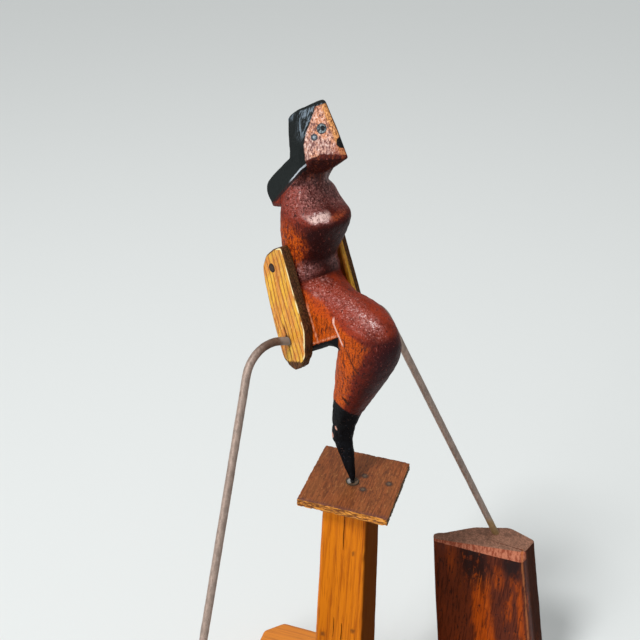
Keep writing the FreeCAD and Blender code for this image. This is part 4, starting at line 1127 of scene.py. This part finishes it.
LEG = [
    (7.5, 100, 42, 6.0, 8.0, 9.0, 2.0, 2.2),
    (9.2, 97, 30, 10.4, 12.0, 12.6, 2.1, 2.3),
    (8.4, 91, 8, 15.6, 13.4, 14.4, 2.2, 2.6),
    (7.2, 82, -6, 14.0, 14.0, 14.4, 2.2, 2.6),
    (4.4, 72, -14, 11.0, 13.2, 13.2, 2.2, 2.6),
    (0.6, 61, -20, 8.8, 11.0, 11.4, 2.3, 2.6),
    (-5, 44, -22, 5.2, 8.2, 8.6, 2.3, 2.5),
    (-7.4, 33, -14, 5.2, 6.4, 6.6, 1.7, 2.6),
    (-8.2, 26, -6, 5.2, 6.3, 5.8, 1.5, 2.8),
    (-6.2, 19, 4, 4.6, 4.8, 4.7, 1.5, 2.8),
    (-2.4, 9, 8, 2.9, 2.9, 2.9, 1.6, 2.6),
    (-0.3, 3.0, 5, 1.7, 1.8, 1.8, 2.2, 2.2),
    (0.0, 1.1, 3, 1.3, 1.3, 1.3, 2.2, 2.2),
]
# Wedges across the head: middle x and z, lean, nose ridge and cheek corner ahead of the middle,
# back behind it, half width at the cheek and at the back.
HEAD = [
    (-36.5, 168.5, 4, 7.0, 1.6, 8.4, 6.4, 6.2),
    (-33.5, 172.5, 8, 11.4, 2.2, 12.0, 8.6, 7.6),
    (-30, 177.5, 12, 16.6, 3.0, 16.0, 10.5, 8.6),
    (-34.5, 188.2, 22, 13.0, 1.3, 13.2, 9.9, 8.7),
    (-39, 198.2, 34, 9.6, -1.0, 10.2, 9.2, 8.4),
    (-39.6, 199.3, 34, 8.2, -1.4, 8.4, 7.8, 7.0),
]
HAIR = [(-40, 187), (-41.8, 176), (-52.5, 166), (-61.4, 156.6), (-62.6, 153.6), (-61.8, 149.4),
        (-57.5, 144.6), (-46.5, 147.5), (-33, 170), (-31, 186)]
HAIR_HALF = 11.5


def lean_ring(flat, x, z, lean):
    """Set a flat ring, fore and aft against across, at a leaning section."""
    turn = math.radians(lean)
    return np.column_stack([x + flat[:, 0] * math.cos(turn), flat[:, 1],
                            z + flat[:, 0] * math.sin(turn)])


def carved_rings(sections, between, count=64):
    """Rings through the named sections, curved between them."""
    table = np.array(sections, float)
    fine = np.linspace(0, len(table) - 1, (len(table) - 1) * between + 1)
    slopes = np.gradient(table, axis=0)
    left = np.minimum(fine.astype(int), len(table) - 2)
    part = (fine - left)[:, None]
    near, far = table[left], table[left + 1]
    rise = part * part * (3 - 2 * part)
    rows = (near + (far - near) * rise + slopes[left] * part * (1 - part) ** 2
            - slopes[left + 1] * part * part * (1 - part))
    spin = np.linspace(0, 2 * math.pi, count, endpoint=False)
    cosine, sine = np.cos(spin), np.sin(spin)
    rings = []
    for x, z, lean, fore, aft, half, square_fore, square_aft in rows:
        power = 2 / np.where(cosine > 0, square_fore, square_aft)
        reach = np.where(cosine > 0, fore, aft) * np.sign(cosine) * np.abs(cosine) ** power
        across = half * np.sign(sine) * np.abs(sine) ** power
        rings.append(lean_ring(np.column_stack([reach, across]), x, z, lean))
    return rings


def head_ring(x, z, lean, ridge, cheek, back, half, back_half):
    """One wedge across the head."""
    flat = np.array([(ridge, -0.8), (ridge, 0.8), (cheek, half), (-back, back_half),
                     (-back, -back_half), (cheek, -half)])
    return lean_ring(flat, x, z, lean)


def hair_rings():
    """The flick of hair, bevelled along its two sides."""
    outline = np.array(HAIR, float)
    middle = outline.mean(0)
    rings = []
    for across, share in ((-1, 0.80), (-0.86, 1.0), (0.86, 1.0), (1, 0.80)):
        ring = middle + (outline - middle) * (1 - 0.14 * (1 - share) / 0.2)
        rings.append(np.column_stack([ring[:, 0], np.full(len(ring), -across * HAIR_HALF),
                                      ring[:, 1]]))
    return rings


def knife_cut(spots, point, facing, width):
    """Depth of a V-shaped knife cut along a plane through a point."""
    facing = np.array(facing, float) / np.linalg.norm(facing)
    return np.clip(1 - np.abs((spots - point) @ facing) / width, 0, 1)


def sculpt(spots, depth):
    """How far the knife went in at each point: facets, chatter, slits and splits."""
    x, y, z = spots.T
    facets = ripple(spots, 7, 2.0) + 0.5 * ripple(spots, 3.0, 5.0)
    move = facets * depth * (0.3 + 0.7 * ramp(z, 176, 160))
    move += ripple(spots, 0.9, 7.0, (1, 1, 2.2)) * 0.05
    planes = ripple(spots, 3.4, 3.0, (1, 1, 2.4))
    move += ramp(z, 56, 46) * (np.abs(planes) * 0.9 - 0.25) * ramp(z, 4, 14)
    slit = knife_cut(spots, (0.6, -10.5, 61.6), (0.45, 0, 1), 0.55)
    move -= slit * np.exp(-((x - 3.5) / 3.2) ** 4) * (y < -5) * 0.9
    nick = knife_cut(spots, (SCRATCH[0], -14.8, SCRATCH[1]), (0.77, 0, 0.63), 0.4)
    along = (x - SCRATCH[0]) * 0.63 - (z - SCRATCH[1]) * 0.77
    move -= nick * ramp(along, -1, 2) * ramp(along, 15, 12) * (y < -10) * 0.45
    return move


def shape_figure():
    """The carved woman: lofts for trunk, leg, head and hair, joined, rounded and cut."""
    sizes = settings("carving")
    parts = [skin(carved_rings(TRUNK, 8)), skin(carved_rings(LEG, 8)),
             skin([head_ring(*section) for section in HEAD]), skin(hair_rings())]
    faces, base = [], 0
    for points, part in parts:
        faces += [tuple(i + base for i in face) for face in part]
        base += len(points)
    piece = new_object("carved_figure", np.vstack([points for points, part in parts]), faces)
    remesh(piece, in_mm(sizes, "clay"))
    x, _, z = read(piece).T
    face = ramp(z, 172, 176) * ramp(x, -36, -33)
    hair = ramp(z, 145, 150) * (1 - face)
    relax(piece, 1 - 0.75 * face - 0.6 * ramp(z, 50, 40), 10, -0.52)
    crease = np.exp(-(((z - 161.5) / 3) ** 2))
    relax(piece, np.where(z < 168, 1.0 - 0.6 * crease, 0.12 + 0.45 * hair), 5, 0)
    relax(piece, ramp(x, 4, 9) * ramp(z, 82, 88) * ramp(z, 108, 104), 34, 0)
    spots = read(piece)
    spots += read(piece, "normal") * sculpt(spots, in_mm(sizes, "knife"))[:, None]
    flat = in_mm(sizes, "board") / 2
    flat = flat + 3 * ramp(spots[:, 2], 122, 132) + 0.06 * np.abs(ripple(spots, 3, 1.0))
    spots[:, 1] = np.clip(spots[:, 1], -flat, flat)
    spots[:, 2] = np.minimum(spots[:, 2], row_box("figure")[1][2] - PLATFORM_TOP)
    write_points(piece, spots)
    return finish_piece(piece, STANDING, stained_carving(), "balancer", "carved_wood", "figure",
                        crease=70)


# Arms

ARM_OUTLINE = [(10.2, 31.8), (3.0, 31.2), (-5.0, 28.2), (-10.6, 22.4), (-12.4, 14.0),
               (-13.8, -8.0), (-13.4, -25.0), (-11.0, -30.4), (-5.0, -33.3), (1.6, -31.0),
               (7.0, -25.2), (12.2, -12.0)]
ARM_MIDDLE = (-34, 99.3)
ARM_NAIL = (-2.4, 21.6)
ARM_NAIL_HEAD = (2.5, 0.8)
WIRE_CORNER = (-33.1, 41.7, 88.0)


def wire_point(out, up, sign=1):
    """A point of a wire's leaning plane, by its way out and up from the bend's corner."""
    x, y, z = WIRE_CORNER
    lean = settings("balance").wire_lean
    return x - up * math.sin(lean), sign * (y + out), z + up * math.cos(lean)


def arm_place(sign):
    """Frame of an arm board: across it, up it and out from her side."""
    half_board = in_mm(settings("carving"), "board") / 2
    return (Matrix.Translation((ARM_MIDDLE[0], sign * half_board, ARM_MIDDLE[1]))
            @ Matrix.Rotation(-settings("arms").lean, 4, "Y"))


def wire_hole():
    """Where the wire leaves the outer face, across and up the arm board."""
    arm_face = in_mm(settings("carving"), "board") / 2 + in_mm(settings("arms"), "thickness")
    run = WIRE_CORNER[1] - arm_face
    spot = wire_point(-run, -run * math.tan(settings("balance").exit_rise))
    local = arm_place(1).inverted() @ Vector(spot)
    return local.x, local.z


def shape_arm(side, sign, material):
    """Arm board with worn ridges of late wood, a crack at the wire and a broken lower end."""
    arms = settings("arms")
    outline = walk(ARM_OUTLINE, 2.2, 0.5)
    thick = in_mm(arms, "thickness")
    piece, points, normals = start(side + "_arm_board", slab(outline, 0.0, thick, 0.6, 7, 30))
    along, up, out = points.T.copy()
    up_only = np.column_stack([0 * up, up, 0 * up])
    hole_x, hole_z = wire_hole()
    around = np.hypot(along - hole_x, up - hole_z)
    reach = np.full(len(points), 99.0)
    for mark in np.vstack([outline, (outline + np.roll(outline, -1, 0)) / 2]):
        reach = np.minimum(reach, np.hypot(along - mark[0], up - mark[1]))

    bend = ripple(up_only, 22, 4.0) * 1.2 + ripple(points * (1, 1, 0), 4.5, 9.0, (1, 5, 1)) * 1.3
    bend += 0.9 * np.sign(along - hole_x) * np.exp(-around ** 2 / 30)
    tilt = 2.2 if sign > 0 else 0.35
    ring = (along + bend + tilt * out) / 3.35
    ring -= np.floor(ring)
    late = ramp(ring, 0.45, 0.85) * ramp(ring, 1.0, 0.90)

    face = ramp(np.abs(normals[:, 2]), 0.5, 0.95)
    outer = ramp(out, thick - 0.4, thick - 0.1)
    low_end = ramp(-up, 20, 30)
    split = np.abs(along - (hole_x - 0.5 + 0.5 * ripple(up_only, 5, 7.0))) / 0.55
    split = np.clip(1 - split, 0, 1) * outer
    split *= ramp(up, hole_z - 12, hole_z - 3) * ramp(up, hole_z + 10, hole_z + 6)
    edge = ramp(reach, 1.1, 0.2)
    rough = np.clip(ripple(points, 1.6, 3.0, (1, 2.5, 1)), 0, 1) * (0.15 + 1.1 * low_end)
    dent = (1 - late) * in_mm(arms, "ridge") * face + split * 0.9
    dent += rough * np.maximum(edge, 0.35 * low_end) * 0.7

    lip = 0.75 * ramp(-up, 25, 31) + 0.25 * ramp(up, 26, 31)
    worn = np.maximum(edge * 0.45, 1 - face)
    if sign > 0:
        piece.data.flip_normals()
        worn *= ramp(out, 0.35 * thick, 0.60 * thick)
    # Painted highlight lines: along the outer face's front arris and near the inner face.
    ahead = ramp(along, 2, 6)
    arris = np.exp(-((reach - 0.8) / 0.55) ** 2) * ahead * outer
    inner = np.exp(-((out - 1.4) / 0.35) ** 2) * ahead * ramp(reach, 0.8, 0.2)
    dark = np.exp(-(np.maximum(around - 2.4, 0) / 0.9) ** 2) * outer
    points -= normals * dent[:, None]
    write_points(piece, points[:, (0, 2, 1)] * (1, sign, 1), ring=late,
                 edge=np.clip(worn + lip, 0, 1), crack=np.clip(split * 1.4 + dark * 0.8, 0, 1),
                 rub=(arris + 0.5 * inner) * (0.8 + ripple(points, 5, 8.0)))
    return finish_piece(piece, STANDING @ arm_place(sign), material, "balancer", "arm_wood",
                        side + "_arm")


def shape_shoulder_nail(side, sign, material):
    """Broad dark nail head, sunk level with the arm."""
    piece = nail_head(side + "_shoulder_nail", *ARM_NAIL_HEAD, 5.0 + sign)
    out = sign * (in_mm(settings("arms"), "thickness") + 0.12)
    place = (STANDING @ arm_place(sign) @ Matrix.Translation((ARM_NAIL[0], out, ARM_NAIL[1]))
             @ Matrix.Rotation(-sign * math.pi / 2, 4, "X"))
    return finish_piece(piece, place, material, "balancer", "nail_steel", "shoulder_nails")


# Wires and weights

WEIGHT_OUTLINE = [(-38.3, -18.3), (18.8, -15.8), (25.9, 0.3), (8.6, 8.0), (-14.3, 1.4),
                  (-38.9, -14.0)]
BEVEL_REACH = ((-38, 19), (0.7, 2.6))  # share of the bevel along the front, by x


def wire_path(sign):
    """Points along the middle of a wire, from inside the hip to inside the weight."""
    sizes = settings("balance")
    rise, splay, radius = sizes.exit_rise, sizes.splay, in_mm(sizes, "bend")
    inward = WIRE_CORNER[1] - in_mm(settings("carving"), "board") / 2 + 4
    down = Vector((math.sin(splay), -math.cos(splay)))
    tangent = radius * math.tan((rise + math.pi / 2 - splay) / 2)
    first = Vector((-tangent * math.cos(rise), -tangent * math.sin(rise)))
    middle = first + Vector((math.sin(rise), -math.cos(rise))) * radius
    last = down * tangent
    turns = np.linspace(math.atan2(*(first - middle).yx), math.atan2(*(last - middle).yx), 30)
    flat = [Vector((-inward, -inward * math.tan(rise))).lerp(first, t)
            for t in np.linspace(0, 1, 16)[:-1]]
    flat += [middle + Vector((math.cos(turn), math.sin(turn))) * radius for turn in turns]
    flat += [last.lerp(down * (in_mm(sizes, "fall") + 8), t) for t in np.linspace(0, 1, 110)[1:]]
    return np.array([wire_point(out, up, sign) for out, up in flat])


def shape_wire(side, sign, material):
    """Bent wire with the dents and flats of hard use."""
    sizes = settings("balance")
    path = wire_path(sign)
    across = np.array([math.cos(sizes.wire_lean), 0.0, math.sin(sizes.wire_lean)])
    beside = unit(np.cross(unit(np.gradient(path, axis=0)), across))
    spin = np.linspace(0, 2 * math.pi, 20, endpoint=False)
    radius = in_mm(sizes, "wire") / 2
    rings = [spot + radius * (np.outer(np.cos(spin), across) + np.outer(np.sin(spin), way))
             for spot, way in zip(path, beside)]
    piece, points, normals = start(side + "_bent_wire", rings)
    dents = ripple(points, 3.0, 6.0 + sign) * 0.10 + ripple(points, 1.1, 2.0) * 0.05
    write_points(piece, points + normals * (dents - 0.05)[:, None])
    return finish_piece(piece, STANDING, material, "balancer", "wire_steel", side + "_wire")


def shape_weight(side, sign, material):
    """Split billet: flat glossy front, rough split back, sawn and bevelled top."""
    sizes = settings("balance")
    outline = walk(WEIGHT_OUTLINE, 3.0, 1.0)
    height, bevel, fall = (in_mm(sizes, name) for name in ("height", "bevel", "fall"))
    front = ramp(-outline[:, 1] - 0.05 * outline[:, 0], 11.0, 14.0)
    torn = np.interp(outline[:, 0], *BEVEL_REACH) * bevel
    torn += ripple(with_height(outline, 0), 4, 6.0) * 0.5
    edge, foot = 0.7, 1.2
    drops = [0.0, 0.08, 0.25, 0.5, *np.linspace(1.0, 3.2 * bevel, 15),
             *np.linspace(3.2 * bevel, height - 2, 72)[1:], height - 0.9, height - 0.3, height]
    rings = []
    for drop in drops:
        corner = edge * (1 - math.sqrt(max(0.0, 1 - (1 - min(drop / edge, 1)) ** 2)))
        corner += foot * max(0.0, 1 - (height - drop) / foot) ** 2
        ring = inset(outline, corner)
        ring[:, 1] += front * np.maximum(0.0, torn - drop) * 0.5
        rings.append(with_height(ring * (1 + (sizes.spread - 1) * drop / height), -drop))
    rings = capped(rings, 14, 8, outline.mean(0))[::-1]
    piece, points, normals = start(side + "_billet", rings)
    drop = -points[:, 2]
    across = points[:, 0] / (1 + (sizes.spread - 1) * drop / height)
    face = ramp(-points[:, 1], 9.0, 13.0)
    upright = ramp(np.abs(normals[:, 2]), 0.8, 0.5)
    split = np.abs(ripple(points, 6, 3.0, (1, 1, 7))) * 1.1
    split += np.abs(ripple(points, 2.2, 8.0, (1, 1, 8))) * 0.4
    plane = ripple(points, 14, 5.0, (1, 1, 3)) * 0.25 + ripple(points, 5, 2.0, (1, 1, 4)) * 0.10
    dent = (split * (1 - face) + (plane + 0.3) * face) * upright
    dent += (1 - upright) * np.abs(ripple(points, 1.1, 9.0)) * 0.22
    points -= normals * dent[:, None]
    x, y, z = points.T
    low_edge = np.interp(across, *BEVEL_REACH) * bevel
    entry = wire_point(fall * math.sin(sizes.splay), -fall * math.cos(sizes.splay))
    sine, cosine = math.sin(sizes.turn), math.cos(sizes.turn)
    place = np.column_stack([x * cosine - y * sine - z * math.tan(sizes.lean_forward),
                             x * sine + y * cosine - z * math.tan(sizes.lean_out), z])
    write_points(piece, (place + entry) * (1, sign, 1), end=ramp(normals[:, 2], 0.55, 0.85),
                 bevel=face * ramp(drop, low_edge + 0.5, low_edge - 0.5) * ramp(drop, 0.2, 0.6),
                 edge=np.exp(-((across - 18.6) / 0.9) ** 2) * upright,
                 split=(1 - face) * upright, across=across, drop=drop)
    if sign < 0:
        piece.data.flip_normals()
    return finish_piece(piece, STANDING, material, "balancer", "weight_wood", side + "_weight",
                        crease=50)


# Operators

class Builder:
    """What every building operator shares."""
    bl_options = {"REGISTER", "UNDO"}


class BALANCER_OT_base(Builder, bpy.types.Operator):
    """Build the base board"""
    bl_idname = "balancer.base"
    bl_label = "Base Board"

    def execute(self, context):
        shape_base()
        return {"FINISHED"}


class BALANCER_OT_post(Builder, bpy.types.Operator):
    """Build the post"""
    bl_idname = "balancer.post"
    bl_label = "Post"

    def execute(self, context):
        shape_post()
        return {"FINISHED"}


class BALANCER_OT_platform(Builder, bpy.types.Operator):
    """Build the platform and its nails"""
    bl_idname = "balancer.platform"
    bl_label = "Platform"

    def execute(self, context):
        shape_platform()
        shape_platform_nails()
        return {"FINISHED"}


class BALANCER_OT_pivot(Builder, bpy.types.Operator):
    """Finish the dish, the toe's tip and pin, and the screws under the base"""
    bl_idname = "balancer.pivot"
    bl_label = "Pivot and Screws"

    def execute(self, context):
        black = (0.012, 0.011, 0.011)
        steel, iron = worn_steel(), old_nail("toe_iron", black, black)
        for node, material in (("pivot_cup", steel), ("toe_ball", iron), ("toe_pin", iron),
                               ("post_screws", iron)):
            mesh = frame["nodes"][node].data
            mesh.materials.clear()
            mesh.materials.append(material)
        return {"FINISHED"}


class BALANCER_OT_figure(Builder, bpy.types.Operator):
    """Carve the figure"""
    bl_idname = "balancer.figure"
    bl_label = "Carved Figure"

    def execute(self, context):
        shape_figure()
        return {"FINISHED"}


class BALANCER_OT_arms(Builder, bpy.types.Operator):
    """Build both arms and their nails"""
    bl_idname = "balancer.arms"
    bl_label = "Arms"

    def execute(self, context):
        wood = ringed_pine("ringed_pine")
        iron = old_nail("shoulder_iron", (0.020, 0.011, 0.008), (0.040, 0.022, 0.016))
        for side, sign in SIDES.items():
            shape_arm(side, sign, wood)
            shape_shoulder_nail(side, sign, iron)
        return {"FINISHED"}


class BALANCER_OT_wires(Builder, bpy.types.Operator):
    """Bend both wires"""
    bl_idname = "balancer.wires"
    bl_label = "Wires"

    def execute(self, context):
        material = rusty_wire()
        for side, sign in SIDES.items():
            shape_wire(side, sign, material)
        return {"FINISHED"}


class BALANCER_OT_weights(Builder, bpy.types.Operator):
    """Split both weights"""
    bl_idname = "balancer.weights"
    bl_label = "Weights"

    def execute(self, context):
        material = dark_billet()
        for side, sign in SIDES.items():
            shape_weight(side, sign, material)
        return {"FINISHED"}


# Stage

LAMP_TARGET = Vector((0, 0, 0.3))
FLOOR_RADIUS = 8
FLOOR_SIDES = 64
BACKDROP_BRIGHTNESS = 0.78  # of the default backdrop, which the sky takes its hue from


def add_lamp(name, kind, place, power, **options):
    """Soft lamp that faces the object."""
    lamp = bpy.data.lights.new(name, kind)
    lamp.energy = power
    for key, value in options.items():
        setattr(lamp, key, value)
    thing = bpy.data.objects.new(name, lamp)
    bpy.context.scene.collection.objects.link(thing)
    thing.location = place
    thing.rotation_euler = (LAMP_TARGET - thing.location).to_track_quat("-Z", "Y").to_euler()


def lay_floor(stage):
    """Round floor in the colour of the backdrop."""
    around = np.linspace(0, 2 * math.pi, FLOOR_SIDES, endpoint=False)
    rim = FLOOR_RADIUS * np.column_stack([np.cos(around), np.sin(around), 0 * around])
    floor = new_object("floor", rim, [tuple(range(FLOOR_SIDES))])
    paper = Finish("floor_paper")
    floor.data.materials.append(paper.surface(Base_Color=stage.backdrop, Roughness=0.9,
                                              Specular_IOR_Level=0.2))


def light_sky(stage):
    """Soft sky; what the camera, mirrors and glass see in its place is the backdrop."""
    world = bpy.data.worlds.new("soft_sky")
    world.use_nodes = True
    nodes, join = world.node_tree.nodes, world.node_tree.links.new
    sky = nodes["Background"]
    seen, path, either, shiny, clear = (
        nodes.new("ShaderNode" + kind)
        for kind in ("Background", "LightPath", "MixShader", "Math", "Math"))
    for glow, strength in ((sky, stage.sky / BACKDROP_BRIGHTNESS), (seen, stage.far)):
        glow.inputs["Color"].default_value = tuple(stage.backdrop) + (1.0,)
        glow.inputs["Strength"].default_value = strength
    shiny.operation = clear.operation = "MAXIMUM"
    join(path.outputs["Is Camera Ray"], shiny.inputs[0])
    join(path.outputs["Is Glossy Ray"], shiny.inputs[1])
    join(shiny.outputs[0], clear.inputs[0])
    join(path.outputs["Is Transmission Ray"], clear.inputs[1])
    join(clear.outputs[0], either.inputs[0])
    join(sky.outputs[0], either.inputs[1])
    join(seen.outputs[0], either.inputs[2])
    join(either.outputs[0], nodes["World Output"].inputs["Surface"])
    bpy.context.scene.world = world


def place_camera(stage):
    """Camera that sees the object as the photograph does."""
    camera = bpy.data.cameras.new("camera")
    camera.lens = stage.lens
    camera.sensor_width = 36
    camera.clip_start = 0.01
    thing = bpy.data.objects.new("camera", camera)
    bpy.context.scene.collection.objects.link(thing)
    thing.matrix_world = (Matrix.Translation(stage.eye)
                          @ Matrix.Rotation(stage.heading, 4, "Z")
                          @ Matrix.Rotation(math.pi / 2 - stage.pitch, 4, "X")
                          @ Matrix.Rotation(-stage.roll, 4, "Z"))
    bpy.context.scene.camera = thing


class BALANCER_OT_stage(Builder, bpy.types.Operator):
    """Set the floor, lamps, sky and camera"""
    bl_idname = "balancer.stage"
    bl_label = "Stage"

    def execute(self, context):
        stage = settings("stage")
        add_lamp("key_lamp", "SUN", (-0.36, -0.66, 1.35), stage.key, angle=stage.key_softness)
        add_lamp("window_lamp", "AREA", (-0.7, -1.3, 0.75), stage.fill, size=0.7)
        add_lamp("upper_lamp", "AREA", (-0.15, 0.10, 1.75), stage.above, size=0.9)
        lay_floor(stage)
        light_sky(stage)
        place_camera(stage)
        context.scene.view_settings.view_transform = "Standard"
        return {"FINISHED"}


OPERATORS = [BALANCER_OT_base, BALANCER_OT_post, BALANCER_OT_platform, BALANCER_OT_pivot,
             BALANCER_OT_figure, BALANCER_OT_arms, BALANCER_OT_wires, BALANCER_OT_weights,
             BALANCER_OT_stage]


class BALANCER_PT_panel(bpy.types.Panel):
    """Lists the building operators in the sidebar."""
    bl_idname = "BALANCER_PT_panel"
    bl_label = "Balancing Figure"
    bl_space_type = "VIEW_3D"
    bl_region_type = "UI"
    bl_category = "Balancer"

    def draw(self, context):
        for operator in OPERATORS:
            self.layout.operator(operator.bl_idname)


def register():
    """Register the settings, operators and panel."""
    for name, group in SETTINGS.items():
        bpy.utils.register_class(group)
        setattr(bpy.types.Scene, name, PointerProperty(type=group))
    for cls in OPERATORS + [BALANCER_PT_panel]:
        bpy.utils.register_class(cls)


def unregister():
    """Take the settings, operators and panel away again."""
    for cls in [BALANCER_PT_panel] + OPERATORS[::-1]:
        bpy.utils.unregister_class(cls)
    for name, group in SETTINGS.items():
        delattr(bpy.types.Scene, name)
        bpy.utils.unregister_class(group)


def main():
    """Build every piece and the stage."""
    register()
    for operator in OPERATORS:
        name = operator.bl_idname.split(".")[1]
        getattr(bpy.ops.balancer, name)()
    bpy.context.view_layer.update()


if __name__ == "__main__":
    main()
